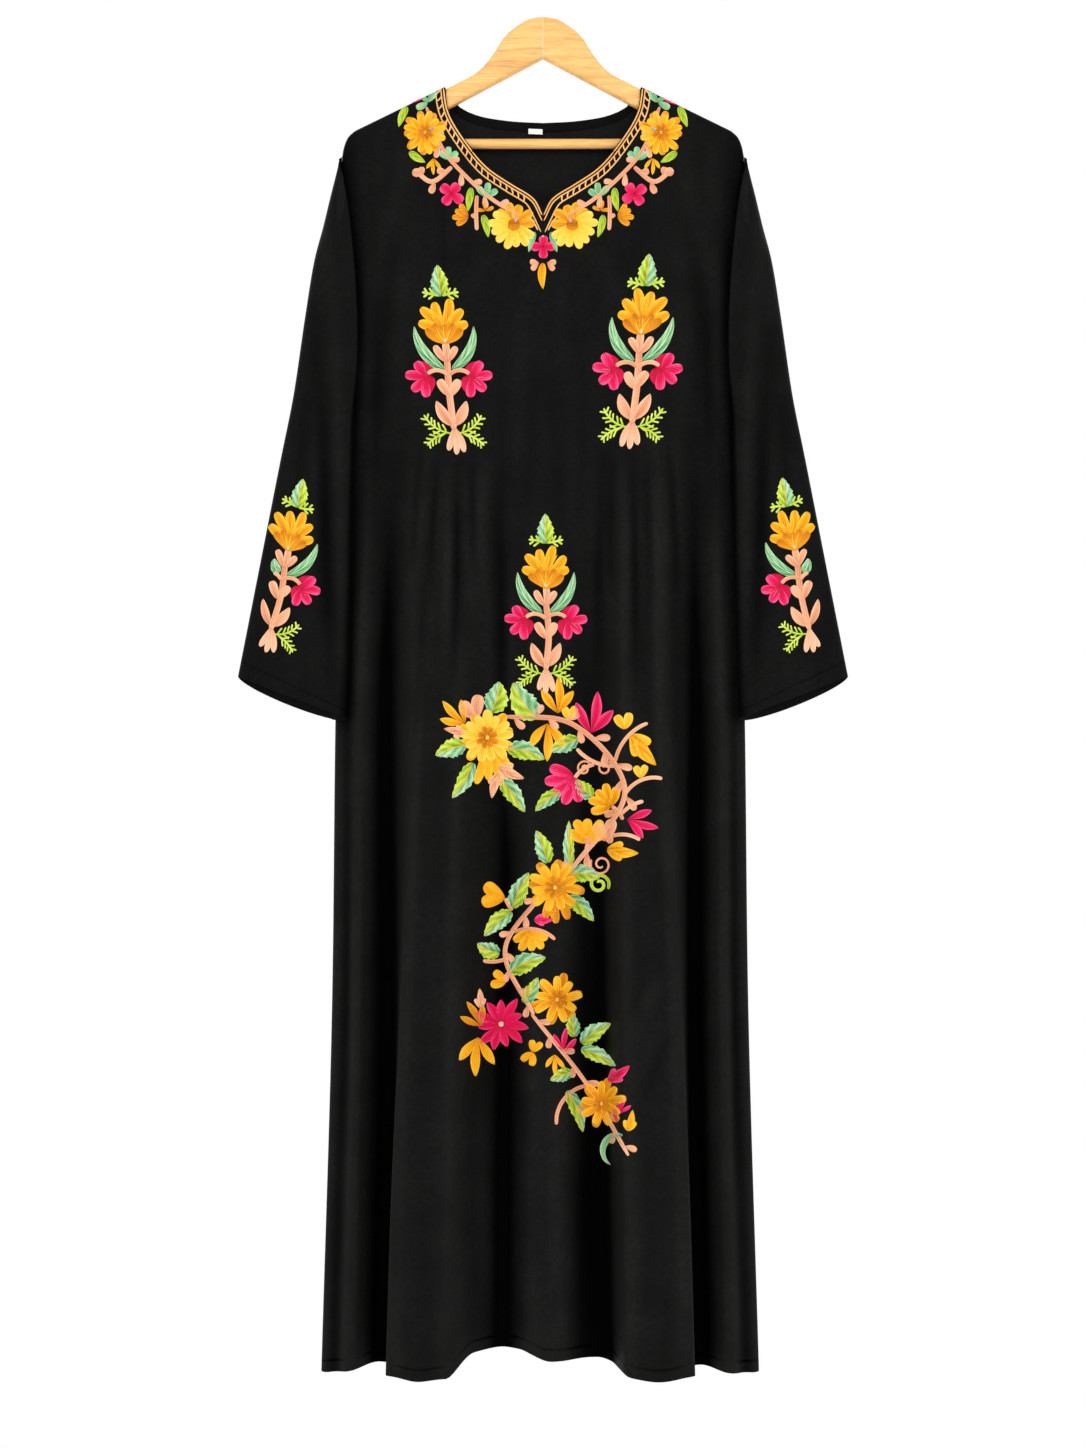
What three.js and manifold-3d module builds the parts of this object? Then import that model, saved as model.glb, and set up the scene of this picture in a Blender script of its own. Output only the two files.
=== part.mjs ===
// Long black kaftan hanging on a wooden hanger.
// Millimetres, +Z up, +X to the right of someone who faces the garment, front towards -Y.
// The origin is the top of the hanger's crown, where a rail or hook would take it.
import * as THREE from "three";
import { mergeVertices } from "three/addons/utils/BufferGeometryUtils.js";
import Module from "manifold-3d";

// Cloth
const WALL = 1.5;
const SEAM = 0.3;
const ON_SEAM = 1;
const SEAM_REACH = 4;
const HEM_HALF = 232;
const HEM_SIDE = -1434;
const NECK_X = 104;
const NECK_Z = -74;
const SHOULDER_SLOPE = 0.484;
const TIP_X = 213;
const TIP_Z = -148;
const UNDERARM_X = 203;
const UNDERARM_Z = -390;
const ARMHOLE_DEPTH = 15;
const ROUND_OVER = 10;
const SIDE_ROUND = 9;
const SIDE_FREE = 22;
const SWELL_REACH = 90;
const ARMHOLE_FULLNESS = 0.75;
const SLEEVE_CLEARANCE = 3.5;
const SLEEVE_FULLNESS = 0.7;
const TUCK_FULLNESS = 1.2;
const SEAM_RINGS = 5;
const SWAY = -3;
const SWAY_FROM = -300;
const SWAY_FULL = -740;

// Facing and label inside the back neck
const FACING_HALF = 96;
const FACING_WIDTH = 9;
const FACING_WALL = 1;
const LABEL_X = -8;
const LABEL_WIDTH = 15;
const LABEL_HEIGHT = 5.5;
const LABEL_DROP = 9.6;

// Hanger
const HANGER_THICK = 13;
const HANGER_BEVEL = 4;
const HANGER_GAP = 1.3;
const HANGER_END = 190;
const ARM_STRAIGHT_X = 125;
const LOBE_START = 4;
const NOTCH_Z = -44;
const BAR_RADIUS = 5.3;
const BAR_HALF = 176;
const BAR_Z = -134;

// Mesh fineness
const FRONT_COLUMNS = 50;
const BACK_COLUMNS = 38;
const FRONT_ROWS = 20;
const BACK_ROWS = 15;
const FRONT_ARMHOLE_ROWS = 5;
const BACK_ARMHOLE_ROWS = 4;
const ROUND_STEPS = 4;
const SIDE_STEPS = 3;
const NECK_STEPS = [2, 5, 10, 18];
const SLEEVE_SIDES = 20;
const TIP_STEPS = 8;
const NECKLINE_STEPS = 40;
const HEM_SAMPLES = 900;
const CROWN_STEPS = 22;
const LOBE_STEPS = 14;
const BEVEL_STEPS = 3;
const BAR_SIDES = 24;
const MERGE_DISTANCE = 1e-4;
const FACING_STEPS = 24;
const LABEL_STEPS = 3;

// Half of the top edge of each panel, from the armhole up the shoulder seam and down the neckline.
const SHOULDER_TIP = [
  { x: TIP_X, z: TIP_Z },
  { x: 211, z: -138 },
  { x: 206.5, z: -127.5 },
  { x: 199, z: -120.5 },
];
const FRONT_NECK = [
  { x: NECK_X, z: NECK_Z },
  { x: 99, z: -103 },
  { x: 80, z: -135 },
  { x: 59, z: -160 },
  { x: 33, z: -178 },
  { x: 12, z: -191 },
  { x: 0, z: -204 },
];
const BACK_NECK = [
  { x: NECK_X, z: NECK_Z },
  { x: 90, z: -92 },
  { x: 70, z: -102 },
  { x: 36, z: -108 },
  { x: 0, z: -110 },
];

// Half width of the hanging body at each level.
const BODY_WIDTH = [
  { z: TIP_Z, half: TIP_X },
  { z: UNDERARM_Z, half: UNDERARM_X },
  { z: -740, half: 217 },
  { z: -1007, half: 220 },
  { z: HEM_SIDE, half: HEM_HALF },
];

// How far each panel stands off the plane of the hanger, past the round-over of the shoulder.
const BODY_SWELL = [
  { z: -110, swell: 0 },
  { z: -300, swell: 9 },
  { z: -500, swell: 12 },
  { z: -740, swell: 15 },
  { z: -1100, swell: 19 },
  { z: HEM_SIDE, swell: 22 },
];

// Level of the hem edge across each panel.
const FRONT_HEM = [
  { x: -HEM_HALF, z: HEM_SIDE },
  { x: -176, z: -1423 },
  { x: -127, z: -1422 },
  { x: -105, z: -1428 },
  { x: -86, z: -1425 },
  { x: -62, z: -1404 },
  { x: -22, z: -1404 },
  { x: 12, z: -1415 },
  { x: 60, z: -1415 },
  { x: 84, z: -1420 },
  { x: 114, z: -1429 },
  { x: 132, z: -1423 },
  { x: 164, z: -1426 },
  { x: HEM_HALF, z: HEM_SIDE },
];
const BACK_HEM = [
  { x: -HEM_HALF, z: HEM_SIDE },
  { x: -130, z: -1424 },
  { x: -60, z: -1409 },
  { x: 30, z: -1412 },
  { x: 80, z: -1408 },
  { x: 140, z: -1424 },
  { x: HEM_HALF, z: HEM_SIDE },
];

// Folds that fall down each panel. at is the middle of a fold on the hem and flat half the width of
// its crest, left and right are the reach of its flanks, depth is its height, leanLeft and leanRight
// shift the two sides of its crest, from and to are the levels where it begins and is whole.
const FRONT_FOLDS = [
  { at: -199, flat: 0, left: 30, right: 30, depth: 14, leanLeft: 0, leanRight: 0, from: -420, to: -1100 },
  { at: -168, flat: 0, left: 30, right: 28, depth: -20, leanLeft: 0, leanRight: 0, from: -300, to: -900 },
  { at: -105, flat: 20, left: 34, right: 46, depth: 40, leanLeft: -30, leanRight: -12, from: -330, to: -1300 },
  { at: -46, flat: 4, left: 34, right: 34, depth: -12, leanLeft: 0, leanRight: 0, from: -420, to: -1200 },
  { at: 2, flat: 4, left: 36, right: 40, depth: 9, leanLeft: 0, leanRight: 0, from: -560, to: -1300 },
  { at: 62, flat: 4, left: 36, right: 20, depth: -12, leanLeft: 0, leanRight: 0, from: -420, to: -1200 },
  { at: 114, flat: 15, left: 24, right: 34, depth: 38, leanLeft: -6, leanRight: 26, from: -330, to: -1300 },
  { at: 168, flat: 0, left: 26, right: 30, depth: -20, leanLeft: 0, leanRight: 0, from: -300, to: -900 },
  { at: 200, flat: 0, left: 30, right: 28, depth: 12, leanLeft: 0, leanRight: 0, from: -420, to: -1100 },
];
const BACK_FOLDS = [
  { at: -196, flat: 0, left: 28, right: 30, depth: 12, leanLeft: 0, leanRight: 0, from: -420, to: -1100 },
  { at: -158, flat: 0, left: 32, right: 30, depth: -18, leanLeft: 0, leanRight: 0, from: -320, to: -950 },
  { at: -110, flat: 12, left: 36, right: 44, depth: 34, leanLeft: -22, leanRight: -10, from: -360, to: -1300 },
  { at: -52, flat: 0, left: 38, right: 40, depth: -14, leanLeft: 0, leanRight: 0, from: -400, to: -1200 },
  { at: 2, flat: 8, left: 38, right: 38, depth: 20, leanLeft: 4, leanRight: 16, from: -300, to: -1200 },
  { at: 56, flat: 0, left: 36, right: 40, depth: -14, leanLeft: 0, leanRight: 0, from: -420, to: -1200 },
  { at: 110, flat: 12, left: 42, right: 34, depth: 34, leanLeft: 10, leanRight: 22, from: -360, to: -1300 },
  { at: 158, flat: 0, left: 30, right: 32, depth: -18, leanLeft: 0, leanRight: 0, from: -320, to: -950 },
  { at: 196, flat: 0, left: 30, right: 28, depth: 12, leanLeft: 0, leanRight: 0, from: -420, to: -1100 },
];

// One row for each ring of a sleeve, from the armhole seam to the cuff. top is the point on the
// outer edge, low the point on the inner edge, x counted outwards. depth is half the ring's depth,
// tuck and lift carry the front inwards and forwards, where it folds over the armhole seam.
const SLEEVE_RINGS = [
  { topX: TIP_X, topZ: TIP_Z, lowX: UNDERARM_X, lowY: 0, lowZ: UNDERARM_Z, depth: 15, tuck: 0, lift: 0 },
  { topX: 214.5, topZ: -150.5, lowX: 206.5, lowY: -0.5, lowZ: -392, depth: 15, tuck: -3, lift: 0 },
  { topX: 215.7, topZ: -153.5, lowX: 209, lowY: -5, lowZ: -394, depth: 15, tuck: -3.5, lift: 3.5 },
  { topX: 217, topZ: -158, lowX: 206, lowY: -12, lowZ: -397, depth: 15, tuck: 13.5, lift: 4 },
  { topX: 218.5, topZ: -164, lowX: 200.5, lowY: -17, lowZ: -402, depth: 15, tuck: 13, lift: 6 },
  { topX: 224, topZ: -186, lowX: 199, lowY: -20, lowZ: -418, depth: 15.5, tuck: 5, lift: 5 },
  { topX: 232, topZ: -220, lowX: 199.3, lowY: -20, lowZ: -446, depth: 16, tuck: 0, lift: 3 },
  { topX: 242, topZ: -258, lowX: 199.8, lowY: -20, lowZ: -480, depth: 16, tuck: 0, lift: 1 },
  { topX: 252, topZ: -319, lowX: 200.5, lowY: -20, lowZ: -525, depth: 16, tuck: 0, lift: 0 },
  { topX: 264, topZ: -400, lowX: 201.5, lowY: -20, lowZ: -580, depth: 16, tuck: 0, lift: 0 },
  { topX: 278, topZ: -470, lowX: 202.5, lowY: -20, lowZ: -625, depth: 16, tuck: 0, lift: 0 },
  { topX: 300, topZ: -582, lowX: 204, lowY: -20, lowZ: -690, depth: 17, tuck: 0, lift: 0 },
  { topX: 323, topZ: -699, lowX: 206, lowY: -20, lowZ: -743, depth: 18, tuck: 0, lift: 0 },
];
const CUFF_BACK_DROP = 10;
const CUFF_DROP_RINGS = 2;

// Upper edge of the hanger's right half, crown first, and its lower edge past the straight part.
const CROWN_CURVE = [
  { x: 0, z: 0 },
  { x: 14, z: -2.2 },
  { x: 27, z: -9.4 },
  { x: 41, z: -21.5 },
  { x: 51, z: -37 },
  { x: 61.5, z: -51 },
  { x: 72, z: -60.5 },
  { x: 88, z: -69 },
];
const ARM_LOBE = [
  { x: HANGER_END, z: -121 },
  { x: 193, z: -128 },
  { x: 192, z: -138 },
  { x: 184, z: -145 },
  { x: 172, z: -145 },
  { x: 162, z: -136 },
  { x: 150, z: -124 },
];

const ease = (t) => t * t * (3 - 2 * t);
const clamp01 = (t) => Math.min(1, Math.max(0, t));
const ramp = (from, to, value) => ease(clamp01((value - from) / (to - from)));
const mix = (a, b, t) => a + (b - a) * t;

// Value of one column of a table at a given key, with straight or eased steps between rows.
function lookup(rows, key, column, at, shape = (t) => t) {
  const rising = rows[rows.length - 1][key] > rows[0][key] ? 1 : -1;
  let i = 0;
  while (i < rows.length - 2 && rising * at > rising * rows[i + 1][key]) {
    i += 1;
  }
  const t = clamp01((at - rows[i][key]) / (rows[i + 1][key] - rows[i][key]));
  return mix(rows[i][column], rows[i + 1][column], shape(t));
}

// Quarter-round rise from 0 at an edge to 1 at the given distance from it.
function quarterRound(distance, radius) {
  const t = 1 - clamp01(distance / radius);
  return Math.sqrt(1 - t * t);
}

// A curve with its points spread evenly along it, from (x, z) rows.
function smoothLine(rows, steps) {
  const points = rows.map((row) => new THREE.Vector3(row.x, 0, row.z));
  return new THREE.CatmullRomCurve3(points, false, "centripetal").getSpacedPoints(steps);
}

// Place at a fraction of the length of a line.
function alongLine(line, fraction) {
  const lengths = [0];
  for (let i = 1; i < line.length; i += 1) {
    lengths.push(lengths[i - 1] + line[i].distanceTo(line[i - 1]));
  }
  const target = fraction * lengths[lengths.length - 1];
  let i = 1;
  while (i < line.length - 1 && lengths[i] < target) {
    i += 1;
  }
  const t = (target - lengths[i - 1]) / (lengths[i] - lengths[i - 1]);
  return line[i - 1].clone().lerp(line[i], clamp01(t));
}

function mirrored(points) {
  return points.map((p) => new THREE.Vector3(-p.x, p.y, p.z)).reverse();
}

function lineLength(line) {
  return line.slice(1).reduce((sum, point, i) => sum + point.distanceTo(line[i]), 0);
}

// Whole top edge of a panel, from the left armhole to the right one, and its shoulder's length.
function topEdge(neckRows) {
  const tip = smoothLine(SHOULDER_TIP, TIP_STEPS);
  const neck = smoothLine(neckRows, NECKLINE_STEPS);
  const right = [...tip, ...neck].reverse();
  const left = mirrored(right).slice(0, -1);
  return { line: [...left, ...right], shoulder: lineLength([...tip, neck[0]]) };
}

function shoulderLevel(x) {
  const reach = Math.abs(x);
  const last = SHOULDER_TIP[SHOULDER_TIP.length - 1];
  if (reach < last.x) {
    return NECK_Z + (last.z - NECK_Z) * ((reach - NECK_X) / (last.x - NECK_X));
  }
  return lookup([...SHOULDER_TIP].reverse(), "x", "z", reach);
}

function swayAt(z) {
  return SWAY * ramp(SWAY_FROM, SWAY_FULL, z);
}

// Half the depth of the armhole at a level, the same for the panels and the sleeve.
function armholeDepth(z) {
  const t = clamp01((z - TIP_Z) / (UNDERARM_Z - TIP_Z));
  return ARMHOLE_DEPTH * Math.sin(Math.PI * t) ** ARMHOLE_FULLNESS;
}

const FRONT = { facing: -1, top: topEdge(FRONT_NECK), hem: FRONT_HEM, folds: FRONT_FOLDS };
const BACK = { facing: 1, top: topEdge(BACK_NECK), hem: BACK_HEM, folds: BACK_FOLDS };

// Height and sideways shift of all folds of a panel, for the cloth that reaches the hem at hemX.
function foldShift(panel, hemX, z) {
  let out = 0;
  let side = 0;
  for (const fold of panel.folds) {
    const away = hemX - fold.at;
    const d = Math.max(0, Math.abs(away) - fold.flat) / (away < 0 ? fold.left : fold.right);
    if (d < 1) {
      const height = (1 - d * d) ** 2 * ramp(fold.from, fold.to, z);
      const across = clamp01(0.5 + away / Math.max(1, 2 * fold.flat));
      out += fold.depth * height;
      side += mix(fold.leanLeft, fold.leanRight, across) * height;
    }
  }
  return { out, side };
}

// Outer point of a panel on the column that ends at hemX, at level z and flat position x.
function panelPoint(panel, hemX, x, z) {
  const half = lookup(BODY_WIDTH, "z", "half", z);
  const fromSide = Math.max(0, half - Math.abs(x));
  const fromShoulder = Math.max(0, shoulderLevel(x) - z);
  const swell = lookup(BODY_SWELL, "z", "swell", z) * ramp(0, SWELL_REACH, fromSide);
  const full = ROUND_OVER * quarterRound(fromShoulder, ROUND_OVER) + swell;
  const edge = z > UNDERARM_Z ? Math.min(armholeDepth(z), full) : 0;
  const fold = foldShift(panel, hemX, z);
  const free = ramp(SIDE_ROUND, SIDE_ROUND + SIDE_FREE, fromSide);
  const out = mix(edge, full, quarterRound(fromSide, SIDE_ROUND)) + fold.out * free;
  return new THREE.Vector3(x + fold.side * free + swayAt(z), panel.facing * (SEAM / 2 + out), z);
}

// Hem positions of a panel's columns: round steps at the sides, even steps of cloth between.
function hemColumns(panel, count) {
  const inner = HEM_HALF - SIDE_ROUND;
  const samples = [];
  for (let i = 0; i <= HEM_SAMPLES; i += 1) {
    const x = mix(-inner, inner, i / HEM_SAMPLES);
    const point = panelPoint(panel, x, x, HEM_SIDE);
    const before = samples[samples.length - 1];
    const length = before ? before.length + point.distanceTo(before.point) : 0;
    samples.push({ x, point, length });
  }
  const total = samples[samples.length - 1].length;
  const columns = [];
  for (let i = 0; i <= count; i += 1) {
    columns.push(lookup(samples, "length", "x", (total * i) / count));
  }
  const edge = [];
  for (let i = 0; i < SIDE_STEPS; i += 1) {
    edge.push(HEM_HALF - SIDE_ROUND * (1 - Math.cos((i / SIDE_STEPS) * (Math.PI / 2))));
  }
  return [...edge.map((x) => -x), ...columns, ...edge.reverse()];
}

// Points of the top edge where a panel's columns start. One column meets each corner of the
// neckline and its middle, and the ones past a corner are close, where the edge leaves the hanger.
function columnTops(panel, columns) {
  const cloth = columns.map((x) => panelPoint(panel, x, x, HEM_SIDE));
  const lengths = cloth.map((_, i) => lineLength(cloth.slice(0, i + 1)));
  const total = lengths[lengths.length - 1];
  const edge = lineLength(panel.top.line);
  const { shoulder } = panel.top;
  const nearest = (share) => {
    const misses = lengths.map((length) => Math.abs(length - share * total));
    return misses.indexOf(Math.min(...misses));
  };
  const left = nearest(shoulder / edge);
  const right = nearest(1 - shoulder / edge);
  const anchors = [
    { length: 0, arc: 0 },
    { length: lengths[left], arc: shoulder },
    ...NECK_STEPS.map((step, i) => ({ length: lengths[left + i + 1], arc: shoulder + step })),
    { length: lengths[nearest(0.5)], arc: edge / 2 },
    ...NECK_STEPS.map((step, i) => ({
      length: lengths[right - i - 1],
      arc: edge - shoulder - step,
    })).reverse(),
    { length: lengths[right], arc: edge - shoulder },
    { length: total, arc: edge },
  ];
  const arcs = lengths.map((length) => lookup(anchors, "length", "arc", length));
  return arcs.map((arc) => alongLine(panel.top.line, arc / edge));
}

// Grid of outer points of a panel, row by row from its top edge to the hem. One row meets the
// underarm at the side.
function panelGrid(panel, columnCount, rowCount, armholeRows) {
  const columns = hemColumns(panel, columnCount);
  const tops = columnTops(panel, columns);
  const underarm = (UNDERARM_Z - TIP_Z + ROUND_OVER) / (HEM_SIDE - TIP_Z + ROUND_OVER);
  const growth = Math.log(underarm) / Math.log(armholeRows / rowCount);
  const rows = [];
  for (let r = 0; r <= ROUND_STEPS + rowCount; r += 1) {
    const row = columns.map((hemX, c) => {
      const top = tops[c];
      const hemZ = lookup(panel.hem, "x", "z", hemX, ease);
      const turn = clamp01(r / ROUND_STEPS) * (Math.PI / 2);
      const near = top.z - ROUND_OVER * (1 - Math.cos(turn));
      const down = Math.max(0, (r - ROUND_STEPS) / rowCount) ** growth;
      const z = mix(near, hemZ, down);
      const share = mix(top.x / TIP_X, hemX / HEM_HALF, (top.z - z) / (top.z - hemZ));
      return panelPoint(panel, hemX, share * lookup(BODY_WIDTH, "z", "half", z), z);
    });
    rows.push(panel.facing < 0 ? row : row.reverse());
  }
  return rows;
}

// Outward normals of a grid whose columns run to the right, seen from outside.
function gridNormals(grid, closed) {
  const last = grid[0].length - 1;
  return grid.map((row, r) =>
    row.map((_, c) => {
      const before = closed ? row[(c + last) % (last + 1)] : row[Math.max(0, c - 1)];
      const after = closed ? row[(c + 1) % (last + 1)] : row[Math.min(last, c + 1)];
      const above = grid[Math.max(0, r - 1)][c];
      const below = grid[Math.min(grid.length - 1, r + 1)][c];
      const across = after.clone().sub(before);
      return below.clone().sub(above).cross(across).normalize();
    }),
  );
}

// Closed wall between a grid and the same grid moved in along its normals.
function wallGeometry(outer, inner, closed) {
  const rows = outer.length;
  const columns = outer[0].length;
  const positions = [];
  for (const grid of [outer, inner]) {
    for (const row of grid) {
      for (const p of row) {
        positions.push(p.x, p.y, p.z);
      }
    }
  }
  const skin = rows * columns;
  const triangles = [];
  const at = (r, c, layer) => layer * skin + r * columns + (c % columns);
  const quad = (a, b, c, d) => triangles.push(a, b, c, a, c, d);
  const spans = closed ? columns : columns - 1;
  for (let r = 0; r < rows - 1; r += 1) {
    for (let c = 0; c < spans; c += 1) {
      quad(at(r, c, 0), at(r + 1, c, 0), at(r + 1, c + 1, 0), at(r, c + 1, 0));
      quad(at(r, c, 1), at(r, c + 1, 1), at(r + 1, c + 1, 1), at(r + 1, c, 1));
    }
  }
  for (let c = 0; c < spans; c += 1) {
    quad(at(0, c, 0), at(0, c + 1, 0), at(0, c + 1, 1), at(0, c, 1));
    quad(at(rows - 1, c, 0), at(rows - 1, c, 1), at(rows - 1, c + 1, 1), at(rows - 1, c + 1, 0));
  }
  if (!closed) {
    const end = columns - 1;
    for (let r = 0; r < rows - 1; r += 1) {
      quad(at(r, 0, 0), at(r, 0, 1), at(r + 1, 0, 1), at(r + 1, 0, 0));
      quad(at(r, end, 0), at(r + 1, end, 0), at(r + 1, end, 1), at(r, end, 1));
    }
  }
  const geometry = new THREE.BufferGeometry();
  geometry.setAttribute("position", new THREE.Float32BufferAttribute(positions, 3));
  geometry.setIndex(triangles);
  geometry.computeVertexNormals();
  return geometry;
}

// Inner points of a panel. At the seams they stay on the seam's own plane.
function panelInner(panel, grid) {
  const normals = gridNormals(grid, false);
  const last = grid[0].length - 1;
  return grid.map((row, r) =>
    row.map((p, c) => {
      const n = normals[r][c];
      const nearSeam = Math.abs(p.y) < ON_SEAM;
      if (nearSeam) {
        n.y = 0;
      }
      if (c === 0 || c === last) {
        const atSide = p.z < (TIP_Z + UNDERARM_Z) / 2;
        if (atSide && Math.abs(p.y) < SEAM_REACH) {
          n.set(Math.sign(p.x), 0, 0);
        } else {
          n.x = 0;
        }
      }
      const inner = p.clone().addScaledVector(n.normalize(), -WALL);
      inner.y = panel.facing * Math.max(SEAM / 2, panel.facing * inner.y);
      return inner;
    }),
  );
}

// Carries a place of the sleeve, x counted outwards, clear of the rounded side of the body.
function besideBody(side, x, y, level) {
  const middle = lookup(BODY_WIDTH, "z", "half", level) + side * swayAt(level) - SIDE_ROUND;
  const distance = Math.hypot(x - middle, y);
  const push = Math.max(1, (SIDE_ROUND + SLEEVE_CLEARANCE) / distance);
  return { x: middle + (x - middle) * push, y: y * push };
}

// Grid of outer points of a sleeve, ring by ring, for the side with the given sign of x.
function sleeveGrid(side) {
  return SLEEVE_RINGS.map((ring, r) => {
    const loop = [];
    for (let i = 0; i < SLEEVE_SIDES; i += 1) {
      const angle = (i / SLEEVE_SIDES) * Math.PI * 2;
      const t = (1 - Math.cos(angle)) / 2;
      const level = mix(ring.topZ, ring.lowZ, t);
      const bulge = Math.abs(Math.sin(angle)) ** SLEEVE_FULLNESS;
      const front = Math.max(0, Math.sin(angle));
      const back = Math.max(0, -Math.sin(angle));
      const reach = r === 0 ? armholeDepth(level) : ring.depth * bulge;
      const depth = Math.sign(Math.sin(angle)) * reach;
      const fromCuff = SLEEVE_RINGS.length - 1 - r;
      const drop = CUFF_BACK_DROP * back * clamp01(1 - fromCuff / CUFF_DROP_RINGS);
      const x = mix(ring.topX, ring.lowX, t) - ring.tuck * front ** TUCK_FULLNESS + SEAM;
      const y = ring.lowY * t - depth - ring.lift * front;
      const place = r === 0 ? { x, y } : besideBody(side, x, y, level);
      const sway = swayAt(level) * Math.max(0, 1 - r / SEAM_RINGS);
      loop.push(new THREE.Vector3(side * place.x + sway, place.y, level - drop));
    }
    return side < 0 ? loop : [loop[0], ...loop.slice(1).reverse()];
  });
}

// Inner points of a sleeve. On the armhole seam they stay on the seam's own plane.
function sleeveInner(grid) {
  const normals = gridNormals(grid, true);
  return grid.map((row, r) =>
    row.map((p, c) => {
      const n = normals[r][c];
      if (r === 0) {
        n.x = 0;
      }
      return p.clone().addScaledVector(n.normalize(), -WALL);
    }),
  );
}

// Strip of a panel below its neckline, carried in by a distance along the panel's normals.
function neckStrip(panel, fromX, toX, steps, drops, inset) {
  const rows = drops.map((drop) => {
    const row = [];
    for (let i = 0; i <= steps; i += 1) {
      const x = mix(fromX, toX, i / steps);
      const neckline = panel.top.line.filter((p) => Math.abs(p.x) <= NECK_X);
      const edge = lookup(neckline, "x", "z", x);
      row.push(panelPoint(panel, x, x, edge - drop));
    }
    return panel.facing < 0 ? row : row.reverse();
  });
  const normals = gridNormals(rows, false);
  return rows.map((row, r) => row.map((p, c) => p.clone().addScaledVector(normals[r][c], -inset)));
}

const wasm = await Module();
wasm.setup();

function toSolid(geometry) {
  const plain = geometry.clone();
  plain.deleteAttribute("normal");
  plain.deleteAttribute("uv");
  const merged = mergeVertices(plain, MERGE_DISTANCE);
  return new wasm.Manifold(
    new wasm.Mesh({
      numProp: 3,
      vertProperties: new Float32Array(merged.attributes.position.array),
      triVerts: new Uint32Array(merged.index.array),
    }),
  );
}

function toGeometry(solid) {
  const mesh = solid.getMesh();
  const geometry = new THREE.BufferGeometry();
  geometry.setAttribute("position", new THREE.Float32BufferAttribute(mesh.vertProperties, 3));
  geometry.setIndex(Array.from(mesh.triVerts));
  geometry.computeVertexNormals();
  return geometry;
}

// Whole outline of the hanger, cut from board and rounded along its edges.
function hangerBoard() {
  const drop = (WALL + HANGER_GAP) * Math.hypot(1, SHOULDER_SLOPE);
  const onShoulder = (x) => ({ x, z: shoulderLevel(x) - drop });
  const top = smoothLine([...CROWN_CURVE, onShoulder(NECK_X), onShoulder(ARM_STRAIGHT_X)], CROWN_STEPS);
  const lobe = smoothLine([onShoulder(HANGER_END - LOBE_START), ...ARM_LOBE], LOBE_STEPS);
  const half = [...top, ...lobe];
  const outline = new THREE.Shape();
  outline.moveTo(0, NOTCH_Z);
  for (const p of [...half].reverse()) {
    outline.lineTo(p.x, p.z);
  }
  for (const p of half.slice(1)) {
    outline.lineTo(-p.x, p.z);
  }
  outline.closePath();
  const board = new THREE.ExtrudeGeometry(outline, {
    depth: HANGER_THICK - 2 * HANGER_BEVEL,
    bevelEnabled: true,
    bevelSize: HANGER_BEVEL,
    bevelThickness: HANGER_BEVEL,
    bevelOffset: -HANGER_BEVEL,
    bevelSegments: BEVEL_STEPS,
    curveSegments: 1,
  });
  board.translate(0, 0, -(HANGER_THICK / 2 - HANGER_BEVEL));
  board.rotateX(Math.PI / 2);
  return board;
}

function barGeometry(radius, half) {
  const bar = new THREE.CylinderGeometry(radius, radius, 2 * half, BAR_SIDES);
  bar.rotateZ(Math.PI / 2);
  bar.translate(0, 0, BAR_Z);
  return bar;
}

// One arm of the hanger: half of the board, with a blind socket for the bar.
function armGeometry(board, side) {
  const reach = 2 * HANGER_END + 2 * HANGER_THICK;
  const otherHalf = new THREE.BoxGeometry(reach, reach, reach);
  otherHalf.translate((side * (SEAM - reach)) / 2, 0, 0);
  const socket = barGeometry(BAR_RADIUS + SEAM, BAR_HALF + SEAM);
  return toGeometry(toSolid(board).subtract(toSolid(otherHalf)).subtract(toSolid(socket)));
}

const cloth = () => new THREE.MeshStandardMaterial({ color: 0x0d0d0f, roughness: 0.82, metalness: 0 });
const wood = () => new THREE.MeshStandardMaterial({ color: 0xe9bd7c, roughness: 0.45, metalness: 0 });
const tape = () => new THREE.MeshStandardMaterial({ color: 0xf2f2f0, roughness: 0.7, metalness: 0 });

const kaftan = new THREE.Group();

function addPiece(name, geometry, material) {
  const mesh = new THREE.Mesh(geometry, material);
  mesh.name = name;
  kaftan.add(mesh);
}

function addPanel(name, panel, columns, rows, armholeRows) {
  const grid = panelGrid(panel, columns, rows, armholeRows);
  addPiece(name, wallGeometry(grid, panelInner(panel, grid), false), cloth());
}

function addSleeve(name, side) {
  const grid = sleeveGrid(side);
  addPiece(name, wallGeometry(grid, sleeveInner(grid), true), cloth());
}

// A thin strip inside the back panel: facing and label are made from the panel's own points.
function addStrip(name, fromX, toX, steps, drops, inset, material) {
  const outer = neckStrip(BACK, fromX, toX, steps, drops, inset);
  const inner = neckStrip(BACK, fromX, toX, steps, drops, inset + FACING_WALL);
  addPiece(name, wallGeometry(outer, inner, false), material);
}

addPanel("front", FRONT, FRONT_COLUMNS, FRONT_ROWS, FRONT_ARMHOLE_ROWS);
addPanel("back", BACK, BACK_COLUMNS, BACK_ROWS, BACK_ARMHOLE_ROWS);
addSleeve("sleeve_left", -1);
addSleeve("sleeve_right", 1);

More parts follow.
